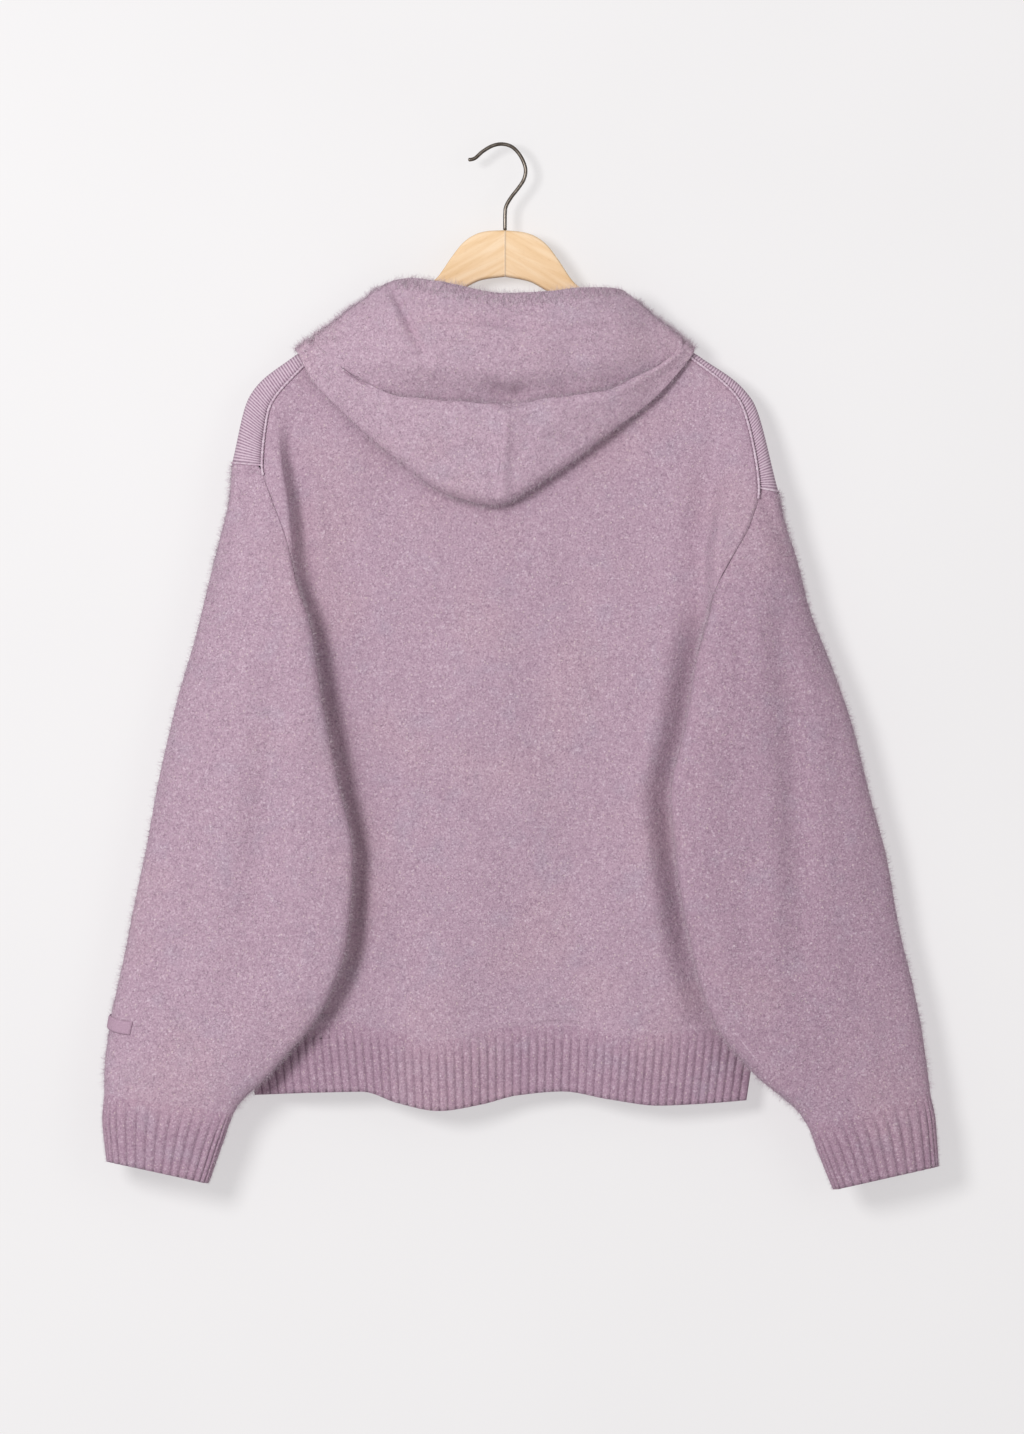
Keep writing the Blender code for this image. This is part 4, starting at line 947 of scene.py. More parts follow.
# %% Yarn lines
def ring_tube(path, radius, sides=6):
    """A round tube: at each place of the path a circle across its direction, with its
    own radius, and the first and last circles shrunk to a quarter of that radius."""
    way = unit(np.gradient(path, axis=0))
    first = unit(np.cross(way, (0.31, 0.93, 0.18)))     # a direction the path never takes
    second = np.cross(way, first)
    angle = np.linspace(0, 2 * np.pi, sides + 1)[:-1]
    radius = np.broadcast_to(radius, len(path)).copy()
    radius[[0, -1]] = radius[[0, -1]] * 0.25
    circle = (np.cos(angle)[None, :, None] * first[:, None] + np.sin(angle)[None, :, None]
              * second[:, None])
    return path[:, None] + circle * radius[:, None, None]


def solid_tube(name, grids):
    """One piece from several tubes, each closed by a cap at both ends."""
    faces, first = [], 0
    for grid in grids:
        rows, sides = grid.shape[:2]
        number = first + np.arange(rows * sides).reshape(rows, sides)
        faces += quads(rows, sides, True, first).tolist()
        faces += [number[0].tolist(), number[-1][::-1].tolist()]
        first += rows * sides
    return new_piece(name, np.concatenate([grid.reshape(-1, 3) for grid in grids]), faces,
                     np.concatenate([sheet_uv(grid).reshape(-1, 2) for grid in grids]))


def even_path(points, step):
    """The same line with its places a step apart, by straight interpolation."""
    points = np.asarray(points, float)
    length = np.concatenate([[0], np.cumsum(np.linalg.norm(np.diff(points, axis=0), axis=1))])
    return between(np.arange(0, length[-1], step), length, points)


def on_cloth(path, sheet, out, lift, step=0.8):
    """A path in x and z laid on a sheet: its depth is the mean of the four nearest
    visible grid points, each weighted by one over its distance."""
    path = even_path([(x, 0, z) for x, z in path], step)
    spots = sheet[out[..., 1] < -0.25]
    gap = np.linalg.norm(path[:, None, (0, 2)] - spots[None, :, (0, 2)], axis=-1)
    near = np.argsort(gap, axis=1)[:, :4]
    weight = 1 / (np.take_along_axis(gap, near, axis=1) + 0.3)[..., None]
    depth = (spots[near] * weight).sum(axis=1) / weight.sum(axis=1)
    return np.stack([path[:, 0], depth[:, 1] - lift, path[:, 2]], axis=-1)


CHAIN_PITCH = 3.0
CHAIN_STEP = 0.45
CHAIN_LIFT = 1.5
CHAIN_RADIUS, CHAIN_SWELL = 0.75, 0.45
END_SEAM_RADIUS = 0.85
UNDERARM_RADIUS = 0.42
UNDERARM_LIFT = -0.3    # sunk into the nap
chains = []
for edge in (0, -1):
    rows = slice(SADDLE_ROWS + 3)
    line = even_path(BACK[rows, edge] + BACK_OUT[rows, edge] * CHAIN_LIFT, CHAIN_STEP)
    swell = np.abs(np.sin(np.arange(len(line)) * CHAIN_STEP / CHAIN_PITCH * np.pi))
    chains.append(ring_tube(line, CHAIN_RADIUS + CHAIN_SWELL * swell))
solid_tube("saddle_chain", chains)
solid_tube("saddle_end_seams", [ring_tube(even_path(sheet[-1], 0.6), END_SEAM_RADIUS)
                                for sheet in SADDLES.values()])

UNDERARM_SEAMS = {
    "left": ((-169.6, -709.6), (-188.4, -728), (-204, -744)),
    "right": ((180.8, -703.2), (203.2, -731.2), (216, -745.6)),
}
solid_tube("underarm_seams", [
    ring_tube(on_cloth(path, SLEEVES[side], SLEEVES_OUT[side], UNDERARM_LIFT), UNDERARM_RADIUS)
    for side, path in UNDERARM_SEAMS.items()])
print("chain stitches:", int(len(line) * CHAIN_STEP / CHAIN_PITCH), "on each side")

# %% [markdown]
# ## Label tab
#
# A small woven tab is folded round the sleeve's outer edge and sewn down.  It is left
# bare.  It is the sleeve's own surface moved out, with softened borders and a row of
# tiny stitches at its end.

# %% Tab
TAB_Z = (-693.2, -703.5)
TAB_GIRTH = (0.374, 0.535)      # of the sleeve's girth, so that it goes round the edge
TAB_TILT = -6.5
TAB_GRID = (14, 34)
TAB_LIFT, TAB_EDGE, TAB_CROWN = 0.9, 0.35, 0.75     # off the sleeve, and its thickness
STITCH_LIFT, STITCH_RADIUS = 1.05, 0.28
share = np.linspace(*TAB_GIRTH, TAB_GRID[1])[None, :]
down = np.linspace(0, 1, TAB_GRID[0])[:, None]
lean = TAB_TILT * (TAB_GIRTH[1] - share) / (TAB_GIRTH[1] - TAB_GIRTH[0])
TAB = tube(SLEEVE_LEFT, share + 0 * down, TAB_Z[0] + (TAB_Z[1] - TAB_Z[0]) * down + lean)
out = -normals(TAB)
crown = 1 - np.clip(1 - lines_in(*TAB_GRID) / 2.0, 0, 1) ** 2
TAB = TAB + out * TAB_LIFT
wall("label_tab", TAB + out * (TAB_EDGE + TAB_CROWN * crown)[..., None], TAB, outwards=-1)
solid_tube("tab_stitches", [
    ring_tube(even_path(TAB[k:k + 2, 1] + out[k:k + 2, 1] * STITCH_LIFT, 0.3), STITCH_RADIUS)
    for k in range(2, 12, 2)])
print("tab, mm:", [round(float(v), 1) for v in np.ptp(TAB.reshape(-1, 3), axis=0)])

# %% [markdown]
# ## Hanger
#
# The hanger is two beech arms glued in a mitre, cut from a 12 mm board with rounded
# edges, and a bent wire hook.  An arm is a rounded rectangle carried sideways between
# its top and bottom outlines.  The wire is a circle carried along its path, with a
# rounded tip.

# %% Wooden arms
MITRE_X = 1.6
SEAM_GAP = 0.3
ARM_TOP = ((0, -67.6), (12, -68.0), (20, -69.5), (27, -72.6), (34, -78.0), (42, -88.0),
           (56, -107.0), (150, -164.5), (180, -183), (187, -189), (188, -195))
ARM_BELOW = ((0, -104.5), (18, -107), (33, -114), (50, -123.5), (90, -149), (168, -199),
             (178, -204.5), (185, -202), (188, -195.4))
ARM_DROP_RIGHT = 0.052          # the hanger hangs a little askew
BOARD_EDGE = 2.6
BOARD_SIDES = 48


def arm(side, drop):
    """Rounded rectangle at each x: a circle of the edge's radius whose four quarters
    are moved apart to the corners, between the two outlines."""
    at = np.concatenate([np.linspace(0, 60, 46), np.linspace(63, 186, 42), (187.2, 188)])
    top, low = (table_at([k[0] for k in outline], [[k[1]] for k in outline], at)[:, 0]
                for outline in (ARM_TOP, ARM_BELOW))
    low = np.minimum(low, top - 0.4)
    half = (top - low) / 2
    angle = np.linspace(0, 2 * np.pi, BOARD_SIDES + 1)[:-1]
    corner_y = WOOD / 2 - BOARD_EDGE
    corner_z = np.maximum(half - BOARD_EDGE, 0.05)[:, None]
    y = np.sign(np.cos(angle)) * corner_y + BOARD_EDGE * np.cos(angle)
    z = np.sign(np.sin(angle)) * corner_z + np.minimum(BOARD_EDGE, half)[:, None] * np.sin(angle)
    x = MITRE_X + side * (at + (at == 0) * SEAM_GAP / 2)
    return np.stack([x[:, None] + 0 * z, y + 0 * z,
                     (top + low)[:, None] / 2 - drop * at[:, None] + z], axis=-1)


solid_tube("wooden_arm_left", [arm(-1, 0.0)[:, ::-1]])
solid_tube("wooden_arm_right", [arm(1, ARM_DROP_RIGHT)])
print("wooden arms made")

# %% Hook
HOOK = ((-28, -11.2), (-22.5, -9.8), (-16, -4.2), (-8, 0.3), (0, 1.5), (8, -1.2),
        (14.4, -8.6), (18.0, -18), (17.0, -26), (12.8, -33), (6.6, -41), (2.6, -48),
        (1.7, -54), (1.6, -68.1))


def round_path(keys, steps):
    """Curve through the keys whose slope at each is half the step between its
    neighbours, so that the wire bends evenly."""
    keys = np.asarray(keys, float)
    at = np.linspace(0, len(keys) - 1, steps)
    i = np.clip(at.astype(int), 0, len(keys) - 2)
    slope = np.gradient(keys, axis=0)
    return hermite(keys[i], keys[i + 1], slope[i], slope[i + 1], 1.0, (at - i)[:, None])


TIP = 1.2               # length of the wire's rounded tip
line = round_path([(x, 0, z) for x, z in HOOK], 150)
travelled = np.concatenate([[0], np.cumsum(np.linalg.norm(np.diff(line, axis=0), axis=1))])
radius = WIRE / 2 * np.sqrt(np.clip(1 - np.clip(1 - travelled / TIP, 0, 1) ** 2, 0.02, 1))
solid_tube("wire_hook", [ring_tube(line, radius, sides=18)])
print("wire: %.0f mm" % travelled[-1])

# %% [markdown]
# ## Nap
#
# Brushing pulls fibre ends out of the yarn.  They lie over the knit in all directions,
# curled, a few millimetres long, and at the edges they make a soft halo.  Each fibre
# here is a thin spike of four triangles, or a bent one of ten, rooted at a chance
# place on the cloth.  The halo shows only where the cloth turns away from the viewer,
# so more of the roots go there.  A particle system would be slower and would not
# export.

# %% Fibres
FIBRE_THICK = 0.11      # radius: real ones are finer, and would not show
HALO_WEIGHT = 2.0       # of cloth seen edge-on, on top of the 0.4 of cloth seen flat
BENT_SHARE = 0.06
LONG_FACES = np.array(((0, 2, 1), (0, 1, 4), (0, 4, 3), (1, 2, 5), (1, 5, 4), (2, 0, 3),
                       (2, 3, 5), (3, 4, 6), (4, 5, 6), (5, 3, 6)))
SHORT_FACES = np.array(((0, 2, 1), (0, 1, 3), (1, 2, 3), (2, 0, 3)))


def fibres(name, sheet, out, count, length, seed, keep=1.0, bent=BENT_SHARE, lean=(10, 80)):
    """Roots by area: a cell is drawn by its share of the summed area, and cells seen
    edge-on count up to six times.  A fibre leans from the way out by an angle, towards
    a chance side, and a bent one turns again halfway.  Its shade is a chance number
    that the finish reads."""
    chance = np.random.default_rng(seed)
    across, down = sheet[:-1, 1:] - sheet[:-1, :-1], sheet[1:, :-1] - sheet[:-1, :-1]
    edge_on = np.clip(1 - np.abs(out[:-1, :-1, 1]), 0, 1)
    area = (np.linalg.norm(np.cross(across, down), axis=-1) * keep
            * (0.4 + HALO_WEIGHT * edge_on ** 1.4))
    summed = np.cumsum(area.ravel())
    cell = np.searchsorted(summed, chance.random(count) * summed[-1])
    row, column = np.divmod(cell, area.shape[1])
    s, t = chance.random((2, count, 1))

    def inside(values):
        return ((values[row, column] * (1 - t) + values[row, column + 1] * t) * (1 - s)
                + (values[row + 1, column] * (1 - t) + values[row + 1, column + 1] * t) * s)

    root, up = inside(sheet), unit(inside(out))
    side = unit(np.cross(up, chance.normal(size=(count, 3))))
    angle = np.radians(chance.uniform(*lean, (count, 1)))
    way = up * np.cos(angle) + side * np.sin(angle)
    reach = chance.uniform(*length, (count, 1))
    size = FIBRE_THICK * chance.uniform(0.7, 1.25, (count, 1, 1))
    second = unit(np.cross(way, up))
    third = np.cross(way, second)
    turn = np.radians(np.array([90, 210, 330]))[None, :, None]
    circle = np.cos(turn) * second[:, None] + np.sin(turn) * third[:, None]
    base = root[:, None] - up[:, None] * 0.25 + circle * size
    bend = np.arange(count) < int(count * bent)
    knee = root + way * reach * 0.55
    curl = unit(way + unit(np.cross(way, chance.normal(size=(count, 3)))) * 0.9 + up * 0.15)
    tip = np.where(bend[:, None], knee + curl * reach * 0.5, root + way * reach)
    middle = knee[:, None] + circle * size * 0.8
    shade = chance.random(count)
    points, faces, shades, first = [], [], [], 0
    for kind, parts, shape in ((bend, (base, middle, tip[:, None]), LONG_FACES),
                               (~bend, (base, tip[:, None]), SHORT_FACES)):
        each, many = shape.max() + 1, int(kind.sum())
        points.append(np.concatenate(parts, axis=1)[kind].reshape(-1, 3))
        start = first + np.arange(many)[:, None, None] * each
        faces.append((start + shape).reshape(-1, 3))
        shades.append(np.repeat(shade[kind], each))
        first += many * each
    faces = np.concatenate(faces).tolist()
    point_values(new_piece(name, np.concatenate(points), faces), "shade", np.concatenate(shades))
    print("%-16s %6d triangles" % (name, len(faces)))


LONG_NAP, SHORT_NAP, HOOD_NAP = (2.4, 7.0), (1.6, 3.6), (2.6, 7.5)
fibres("back_nap", BACK, BACK_OUT, 12000, LONG_NAP, 41)
fibres("front_nap", FRONT, FRONT_OUT, 2500, (2.4, 6.0), 42)
for side, seed, sign in (("left", 43, 1), ("right", 44, -1)):
    fibres("sleeve_nap_" + side, closed(SLEEVES[side]), closed(SLEEVES_OUT[side]), 21000,
           LONG_NAP, seed)
    band = BANDS["cuff_band_" + side]
    fibres("cuff_nap_" + side, closed(band["outer"]),
           closed(sign * normals(band["plain"], ring=True)), 3200, SHORT_NAP, seed + 10,
           bent=0.0)
for side, sign, count, seed in (("back", 1, 3000, 61), ("front", -1, 1200, 62)):
    band = BANDS[side + "_hem"]
    fibres("hem_nap_" + side, band["outer"], sign * normals(band["plain"]), count, SHORT_NAP,
           seed, bent=0.0)
outside = np.arange(HOOD.shape[1] - 1) > TURN_UP - 8        # not on the hidden layer
fibres("hood_nap", HOOD, HOOD_OUT, 22000, HOOD_NAP, 71, keep=outside)
upwards = unit(np.gradient(HOOD, axis=1)[:, -6:])   # at the face edge they stand up
fibres("hood_nap_edge", HOOD[:, -6:], upwards, 7000, HOOD_NAP, 72, lean=(0, 62))

# %% [markdown]
# ## Finishes
#
# The yarn is a mélange: dyed lilac wool spun with a little blue-grey and a little
# pale undyed fibre, so the colour changes in soft patches the size of a thumb and in
# specks the size of a fibre curl.  The patterns are noises in the object's own metres,
# so the scale of each is worked out from how many of its spots lie in a metre.  A tint
# is laid over the ground colour where a ramp of the noise is bright.

# %% Colour and node helpers
def linear(code):
    """sRGB hex to linear: each channel plus 0.055, over 1.055, to the power 2.4, and
    the darkest ones just over 12.92."""
    part = np.array([int(code[k:k + 2], 16) / 255 for k in (1, 3, 5)])
    low = part <= 0.04045
    return (*np.where(low, part / 12.92, ((part + 0.055) / 1.055) ** 2.4).tolist(), 1.0)


def spots(size):
    """A pattern's scale: the whole number of spots of a size, in millimetres, to a metre."""
    return round(1 / (size * MM))


def fill(made, inputs):
    """Gives a node its inputs: another node's output is linked, a hex colour is turned
    to linear, and any other value is set."""
    for place, value in inputs.items():
        if isinstance(value, bpy.types.NodeSocket):
            made.id_data.links.new(value, made.inputs[place])
        else:
            made.inputs[place].default_value = linear(value) if isinstance(value, str) else value


def node(tree, kind, inputs=None, out=0, stops=(), blend="LINEAR", **settings):
    """Adds a node with its settings and inputs, and gives back one of its outputs.
    Its kind is Blender's name without ShaderNode.  Stops are the places and colours of
    a ramp, and blend is the way between them."""
    made = tree.nodes.new("ShaderNode" + kind)
    for name, value in settings.items():
        setattr(made, name, value)
    if stops:
        colours = made.color_ramp
        for _ in stops[len(colours.elements):]:
            colours.elements.new(0.5)
        colours.interpolation = blend
        for element, (place, code) in zip(colours.elements, stops):
            element.position, element.color = place, linear(code)
    fill(made, inputs or {})
    return made.outputs[out]


def tinted(tree, colour, tint, pattern, *stops, strength=1.0, blend="LINEAR"):
    """Lays a tint over a colour: its share is the pattern's ramp, times the strength."""
    share = node(tree, "ValToRGB", {0: pattern}, stops=stops, blend=blend)
    if strength < 1:
        share = node(tree, "Math", {0: share, 1: strength}, operation="MULTIPLY")
    return node(tree, "Mix", {0: share, 6: colour, 7: tint}, out=2,
                data_type="RGBA")


def finish(name, roughness, specular, sheen=0.0, metallic=0.0):
    """A new material: its nodes, its shader with the constant settings on their own
    sockets, and the place on the object, in metres, for its patterns."""
    made = bpy.data.materials.new(name)
    made.use_nodes = True
    MATERIALS[name] = made
    tree = made.node_tree
    shader = tree.nodes["Principled BSDF"]
    fill(shader, {"Roughness": roughness, "Metallic": metallic, "Specular IOR Level": specular,
                  "Sheen Weight": sheen, "Sheen Roughness": 0.6, "Sheen Tint": "#E9D8E6"})
    return tree, shader, node(tree, "TexCoord", out="Object")


print("lilac in linear light:", [round(v, 3) for v in linear("#BEA1B3")[:3]])

# %% [markdown]
# ### Mélange wool
#
# Patches come from two slow noises, 25 and 90 mm across.  Specks come from a fast one
# of 1.6 mm, the size of a fibre curl, over lumps of 6 mm where the nap is thicker, and
# pale flecks of undyed fibre from cells 5 mm apart.
# Brushed cloth scatters the light in its nap: very rough, hardly any gloss, and a
# little sheen at the edges.  The same recipe colours the cloth, the ribs and the
# fibres.  The hood's nap is longer and its wool a little paler, and the ribs aren't
# brushed and so darker.  The right sleeve and cuff are painted a little darker, as
# painted shade on the side of the garment away from the light.

# %% Wool
LILAC_PALE, BLUE_GREY, ROSE, CREAM = "#E8D9E3", "#AFA8B8", "#C9A9B4", "#EBDDD2"
# painted shade: the colour that the ribs' ditches are darkened towards
RIB_DITCH_SHADE = "#6B4F63"
PATCH, WIDE_PATCH, CURL, LUMP, FLECK = 25, 91, 1.562, 5.88, 4.76        # mm across
YARNS = {               # ground colour, and the colour of its dark specks
    "brushed_wool": ("#BEA1B3", "#92768A"),
    "brushed_wool_paler_hood": ("#C5A9BA", "#977B8F"),
    # painted shade: a darker copy of the wool for the right sleeve, which turns away from the
    # light
    "brushed_wool_darker_lot": ("#B799AC", "#8C6F84"),
    "ribbed_wool": ("#B394A7", "#86697E"),
    # painted shade: a darker copy of the rib for the right cuff, which turns away from the light
    "ribbed_wool_darker_lot": ("#AF90A3", "#826579"),
}


def melange(tree, place, base):
    """Slow patches of blue-grey and rose over the yarn's own colour."""
    slow = node(tree, "TexNoise", {"Vector": place, "Scale": spots(PATCH), "Detail": 3.0,
                                   "Roughness": 0.6})
    wide = node(tree, "TexNoise", {"Vector": place, "Scale": spots(WIDE_PATCH), "Detail": 2.0})
    colour = tinted(tree, base, BLUE_GREY, slow, (0.50, "#000000"), (0.76, "#8A8A8A"),
                    blend="EASE")
    return tinted(tree, colour, ROSE, wide, (0.46, "#000000"), (0.66, "#909090"), blend="EASE")


for name, (base, deep) in YARNS.items():
    ribs = name.startswith("rib")
    specks = 0.65 if ribs else 0.75
    tree, shader, place = finish(name, 0.95, 0.12, sheen=0.25)
    curls = node(tree, "TexNoise", {"Vector": place, "Scale": spots(CURL), "Detail": 3.0,
                                    "Roughness": 0.7, "Distortion": 0.8})
    lumps = node(tree, "TexNoise", {"Vector": place, "Scale": spots(LUMP), "Detail": 2.0})
    cells = node(tree, "TexVoronoi", {"Vector": place, "Scale": spots(FLECK)})
    colour = melange(tree, place, base)
    colour = tinted(tree, colour, deep, curls, (0.34, "#FFFFFF"), (0.50, "#000000"),
                    strength=specks)
    colour = tinted(tree, colour, LILAC_PALE, curls, (0.54, "#000000"), (0.68, "#FFFFFF"),
                    strength=specks * 0.8)
    colour = tinted(tree, colour, deep, lumps, (0.42, "#000000"), (0.66, "#6A6A6A"))
    colour = tinted(tree, colour, CREAM, cells, (0.06, "#B8B8B8"), (0.17, "#000000"))
    if ribs:
        # painted shade in the ditches between the ribs, darker the deeper a point lies
        ditch = node(tree, "Attribute", out="Fac", attribute_name="ditch")
        colour = tinted(tree, colour, RIB_DITCH_SHADE, ditch, (0.15, "#000000"), (1.0, "#A0A0A0"))
    height = node(tree, "Math", {0: curls, 1: lumps}, operation="ADD")
    relief = node(tree, "Bump", {"Height": height, "Distance": 0.0012,
                                 "Strength": 0.55 if ribs else 0.75})
    fill(shader, {"Base Color": colour, "Normal": relief})

# A fibre end is thin and catches the light; here that light is painted into its colour, as painted
# light that also lifts the shade among the fibres at the edges, so it is paler than the cloth it
# grows on.
tree, shader, place = finish("wool_fibre", 0.9, 0.12, sheen=0.2)
shade = node(tree, "Attribute", out="Fac", attribute_name="shade")
tone = node(tree, "ValToRGB", {0: shade}, stops=(
    (0.0, "#C4AEBE"), (0.30, "#DAC6D3"), (0.70, "#ECDFE7"), (0.93, "#F8F2F5"), (1.0, "#F8F1E9")))
ground = melange(tree, place, YARNS["brushed_wool"][0])
fill(shader, {"Base Color": node(tree, "Mix", {0: 0.72, 6: ground, 7: tone}, out=2,
                                 data_type="RGBA")})
print("wool finishes:", sorted(MATERIALS))

# %% [markdown]
# ### Fine knit, woven tape and seam yarn
#
# The saddles are a finer, smooth gauge that isn't brushed, so they are less rough.
# Their rows run across the strip, so the bands follow the strip's own UV map, which is
# in metres of cloth.  The tab is a woven tape with a thread of 0.9 mm, and the seams
# are the same yarn, unbrushed and a little paler.

# %% Fine knit
ROW_PITCH = 2.3         # 1.7 mm on the real strip, drawn coarser so that it shows
FINE_CURL = 1.667
THREAD = 0.9            # of the tape
tree, shader, place = finish("fine_knit", 0.9, 0.15, sheen=0.15)
cloth = node(tree, "UVMap", uv_map="cloth")
rows = node(tree, "TexWave",
            {"Vector": cloth, "Scale": 2 * math.pi / (20 * ROW_PITCH * MM), "Distortion": 0.5,
             "Detail": 1.0, "Detail Scale": 1.0}, out="Fac", bands_direction="Y")
specks = node(tree, "TexNoise", {"Vector": place, "Scale": spots(FINE_CURL), "Detail": 2.0})
tone = node(tree, "ValToRGB", {0: rows},
            stops=((0.0, "#8E7287"), (0.45, "#BB9FB1"), (1.0, "#D6BECD")))
colour = tinted(tree, tone, LILAC_PALE, specks, (0.40, "#000000"), (0.70, "#8C8C8C"))
relief = node(tree, "Bump", {"Height": rows, "Strength": 0.6, "Distance": 0.0006})
fill(shader, {"Base Color": colour, "Normal": relief})

tree, shader, _ = finish("woven_tab", 0.85, 0.2, sheen=0.1)
cloth = node(tree, "UVMap", uv_map="cloth")
fill(shader, {"Base Color": node(tree, "TexBrick", {
    "Vector": cloth, "Scale": spots(1), "Color1": "#C6A9BA", "Color2": "#B698AB",
    "Mortar": "#A18398", "Brick Width": THREAD, "Row Height": THREAD, "Mortar Size": 0.12})})


def mottled(name, roughness, specular, size, dark, pale, **more):
    """A finish whose colour wanders between two with a noise of one size."""
    tree, shader, place = finish(name, roughness, specular, **more)
    noise = node(tree, "TexNoise", {"Vector": place, "Scale": spots(size), "Detail": 2.0})
    fill(shader, {"Base Color": node(tree, "ValToRGB", {0: noise},
                                     stops=((0.35, dark), (0.65, pale)))})


mottled("seam_yarn", 0.85, 0.15, 2.38, "#BFA3B5", "#DCCAD6", sheen=0.15)
print("fine knit: rows %.1f mm apart" % ROW_PITCH)

# %% [markdown]
# ### Beech and steel
#
# The board is pale beech, sanded and matt, with straight grain along each arm and
# the short dark flecks that beech always has, about 4 by 1 mm.  Each arm is its own
# piece of wood, so the grain is mirrored at the mitre and taken from another place on
# the right.  The wire is plain steel, drawn and left a dull dark grey, so it mirrors
# the room in a soft streak along each bend.

# %% Beech and steel
ARM_SLOPE = -28         # degrees, of the grain
GRAIN = (71, 6.25, 6.25)        # mm along the arm and across it
DARK_FLECK = (3.85, 1.111, 0.6667)
tree, shader, place = finish("sanded_beech", 0.55, 0.35)
split = tree.nodes.new("ShaderNodeSeparateXYZ")
fill(split, {0: place})
centred = node(tree, "Math", {0: split.outputs["X"], 1: MITRE_X * MM},
               operation="SUBTRACT")
along = node(tree, "Math", {0: centred}, operation="ABSOLUTE")
joined = node(tree, "CombineXYZ", {0: along, 1: split.outputs["Y"],
                                   2: split.outputs["Z"]})
right = node(tree, "Math", {0: centred, 1: 0.0}, operation="GREATER_THAN")
apart = node(tree, "CombineXYZ", {1: right})
moved = node(tree, "VectorMath", {0: joined, 1: apart}, operation="ADD")
turned = node(tree, "Mapping", {"Vector": moved,
                                "Rotation": (0, math.radians(ARM_SLOPE), 0)})
long_way = node(tree, "Mapping", {"Vector": turned, "Scale": [spots(size) for size in GRAIN]})
grain = node(tree, "TexNoise", {"Vector": long_way, "Scale": 1.0, "Detail": 4.0,
                                "Roughness": 0.55, "Distortion": 0.4})
short_way = node(tree, "Mapping", {"Vector": turned,
                                   "Scale": [spots(size) for size in DARK_FLECK]})
flecks = node(tree, "TexNoise", {"Vector": short_way, "Scale": 1.0, "Detail": 1.0})
board = node(tree, "ValToRGB", {0: grain},
             stops=((0.30, "#E8C292"), (0.50, "#F1CFA5"), (0.70, "#F7DBB8")))
colour = tinted(tree, board, "#C79763", flecks, (0.62, "#000000"), (0.72, "#6E6E6E"))
relief = node(tree, "Bump", {"Height": flecks, "Strength": 0.08, "Distance": 0.0003})
fill(shader, {"Base Color": colour, "Normal": relief})

mottled("steel_wire", 0.34, 0.5, 3.33, "#5E564F", "#7D756D", metallic=1.0)
print("finishes:", sorted(MATERIALS))

# %% [markdown]
# ## What each piece is made of, and what it stands for
#
# Every piece of the scene rides on the one body.  A piece that is the finer form of a
# imported solid replaces it, and gets one of the finishes made above.

# %% Dressing the pieces
FINISH = {              # the part's slot, and how the names of its pieces start
    "brushed_wool": ("wool_fleece", ("back_panel", "front_panel", "sleeve_body_left")),
    "brushed_wool_paler_hood": ("wool_fleece", ("hood_half",)),
    "brushed_wool_darker_lot": ("wool_fleece", ("sleeve_body_right",)),
    "ribbed_wool": ("rib_knit", ("back_hem", "front_hem", "cuff_band_left")),
    "ribbed_wool_darker_lot": ("rib_knit", ("cuff_band_right",)),
    "fine_knit": ("fine_knit", ("saddle_left", "saddle_right")),
    "woven_tab": ("fine_knit", ("label_tab",)),
    "seam_yarn": ("fine_knit", ("saddle_chain", "saddle_end", "underarm", "tab_stitches")),
    "wool_fibre": ("wool_fleece", ("back_nap", "front_nap", "sleeve_nap", "cuff_nap",
                                   "hem_nap", "hood_nap")),
    "sanded_beech": ("beech", ("wooden_arm",)),
    "steel_wire": ("steel_wire", ("wire_hook",)),
}
for material, (slot, starts) in FINISH.items():
    for name, piece in PIECES.items():
        if name.startswith(starts):
            piece.data.materials.append(MATERIALS[material])
            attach(piece, "root")

STANDS_FOR = {"back_panel": "body_back", "front_panel": "body_front",
              "back_hem": "hem_rib_back", "front_hem": "hem_rib_front"}
for side in ("left", "right"):
    STANDS_FOR.update({piece + side: solid + side for piece, solid in (
        ("saddle_", "shoulder_strip_"), ("sleeve_body_", "sleeve_"), ("cuff_band_", "cuff_"),
        ("hood_half_", "hood_"), ("wooden_arm_", "hanger_arm_"))})
STANDS_FOR.update({"label_tab": "sleeve_label", "wire_hook": "hanger_hook"})
for name, solid in STANDS_FOR.items():
    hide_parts(solid)
print("pieces:", len(PIECES), "without a finish:",
      [name for name, piece in PIECES.items() if not piece.data.materials])
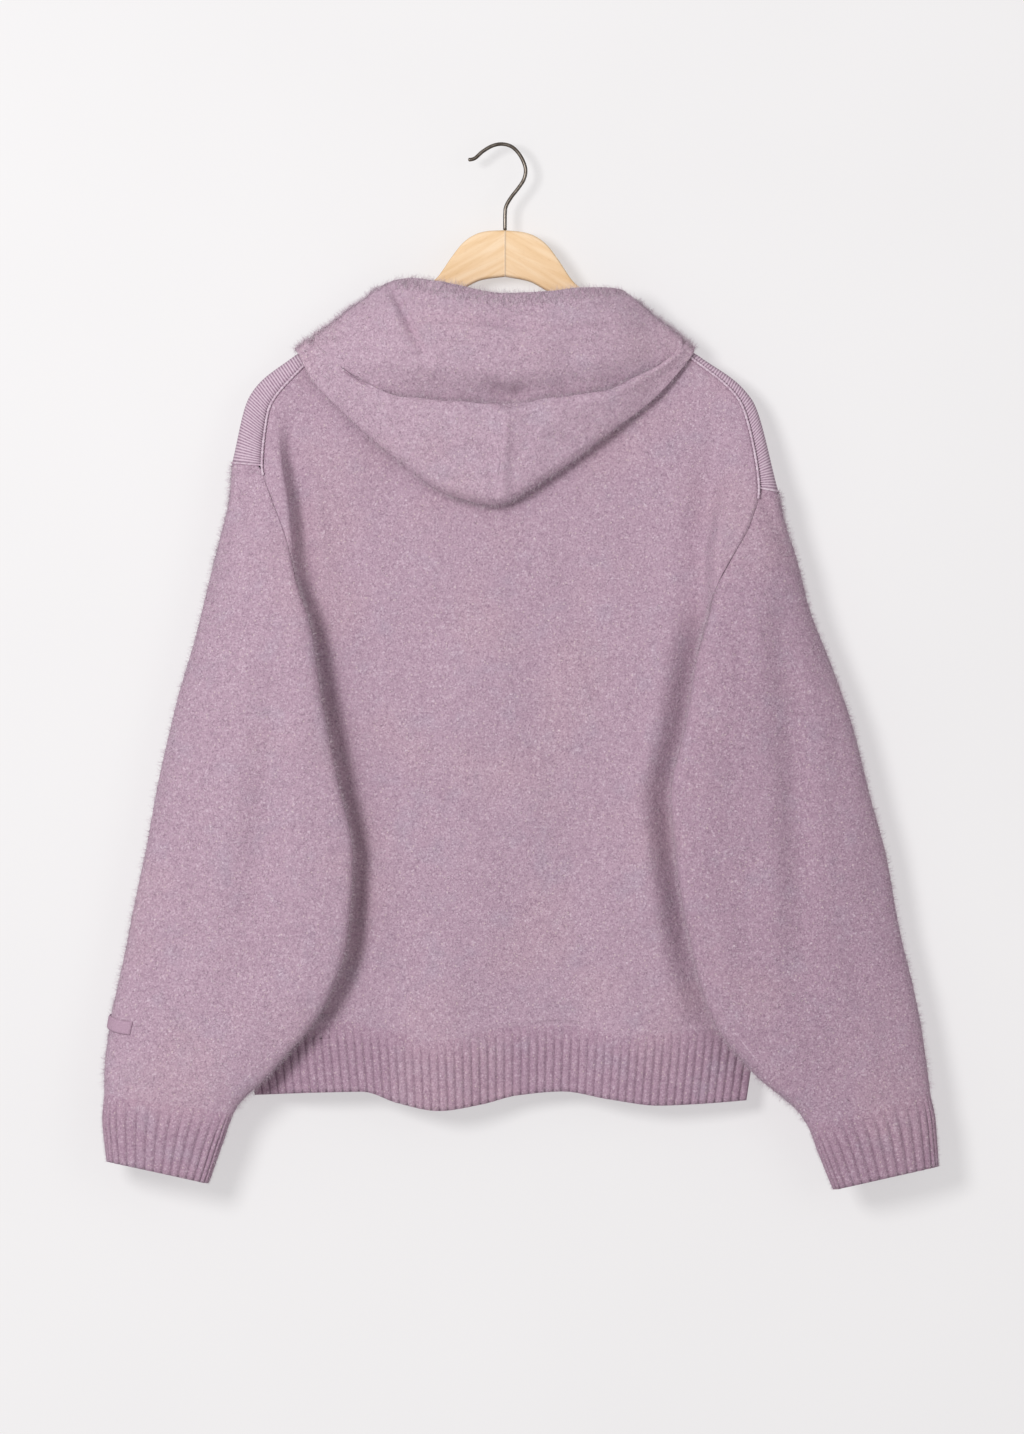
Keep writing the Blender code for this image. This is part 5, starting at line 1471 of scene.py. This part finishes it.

# %% [markdown]
# Ribs are measured without their waves.


# %% [markdown]
# ## Room and light
#
# The garment hangs on a white wall.  A large soft light stands high at the left, and
# the room fills in from the right, so the shadow is narrow and soft.  A real room also
# sends light back at the wall from all its sides, which pales the shadow.  Here the
# paint itself gives that part of its white, so that three lights are enough.  Only
# the camera sees the wall, and only from the front, so the third light can stand
# behind it and light the garment's rear.

# %% Wall paint and world
WALL_Y = 0.021          # metres, as are the other sizes of the room
WALL_SIDES, WALL_FOOT, WALL_TOP = 4, -1.6, 2.0
tree, shader, place = finish("matt_wall_paint", 0.9, 0.2)
roller = node(tree, "TexNoise", {"Vector": place, "Scale": spots(333), "Detail": 2.0})
tone = node(tree, "ValToRGB", {0: roller}, stops=((0.3, "#A8A7A7"), (0.7, "#ABAAAA")))
fill(shader, {"Base Color": tone, "Emission Color": "#FFFDFE", "Emission Strength": 0.47})
behind = node(tree, "NewGeometry", out="Backfacing")
straight = node(tree, "LightPath", out="Is Camera Ray")
hidden = node(tree, "Math", {0: 1.0, 1: straight}, operation="SUBTRACT")
gone = node(tree, "Math", {0: behind, 1: hidden}, operation="MAXIMUM")
shown = node(tree, "MixShader", {0: gone, 1: shader.outputs[0],
                                 2: node(tree, "BsdfTransparent")})
fill(tree.nodes["Material Output"], {"Surface": shown})

corners = [(-WALL_SIDES, WALL_Y, WALL_FOOT), (WALL_SIDES, WALL_Y, WALL_FOOT),
           (WALL_SIDES, WALL_Y, WALL_TOP), (-WALL_SIDES, WALL_Y, WALL_TOP)]
mesh = bpy.data.meshes.new("backdrop")
mesh.from_pydata(corners, [], [(0, 1, 2, 3)])
backdrop = bpy.data.objects.new("backdrop", mesh)
backdrop.data.materials.append(MATERIALS["matt_wall_paint"])
bpy.context.scene.collection.objects.link(backdrop)

world = bpy.data.worlds.new("pale_room")
bpy.context.scene.world = world
world.use_nodes = True
fill(world.node_tree.nodes["Background"], {"Color": (1.0, 0.985, 0.99, 1), "Strength": 0.47})
bpy.context.scene.view_settings.view_transform = "Standard"
print("wall: %.0f mm behind the hook" % (WALL_Y / MM))


# %% Lights
def area_light(name, place, size, power, target=(0, 0, -0.45)):
    """A round soft light turned to face a point: metres and watts."""
    data = bpy.data.lights.new(name, "AREA")
    data.shape = "DISK"
    data.size = size
    data.energy = power
    lamp = bpy.data.objects.new(name, data)
    lamp.location = place
    way = np.array(target, float) - np.array(place, float)
    lamp.rotation_euler = (math.acos(-way[2] / np.linalg.norm(way)), 0,
                           math.atan2(way[1], way[0]) - math.pi / 2)
    bpy.context.scene.collection.objects.link(lamp)


area_light("window", (-1.3, -2.7, 0.22), 0.95, 58, target=(0, 0, -0.42))
area_light("room", (1.7, -2.6, -0.1), 1.6, 7)
area_light("behind", (0.4, 2.6, 0.6), 1.6, 24)

# %% Sizes and finish
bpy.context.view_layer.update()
counted = {name: len(piece.data.loops) - 2 * len(piece.data.polygons)
           for name, piece in PIECES.items()}
print("triangles:", sum(counted.values()), "most:", max(counted.items(), key=lambda one: one[1]))
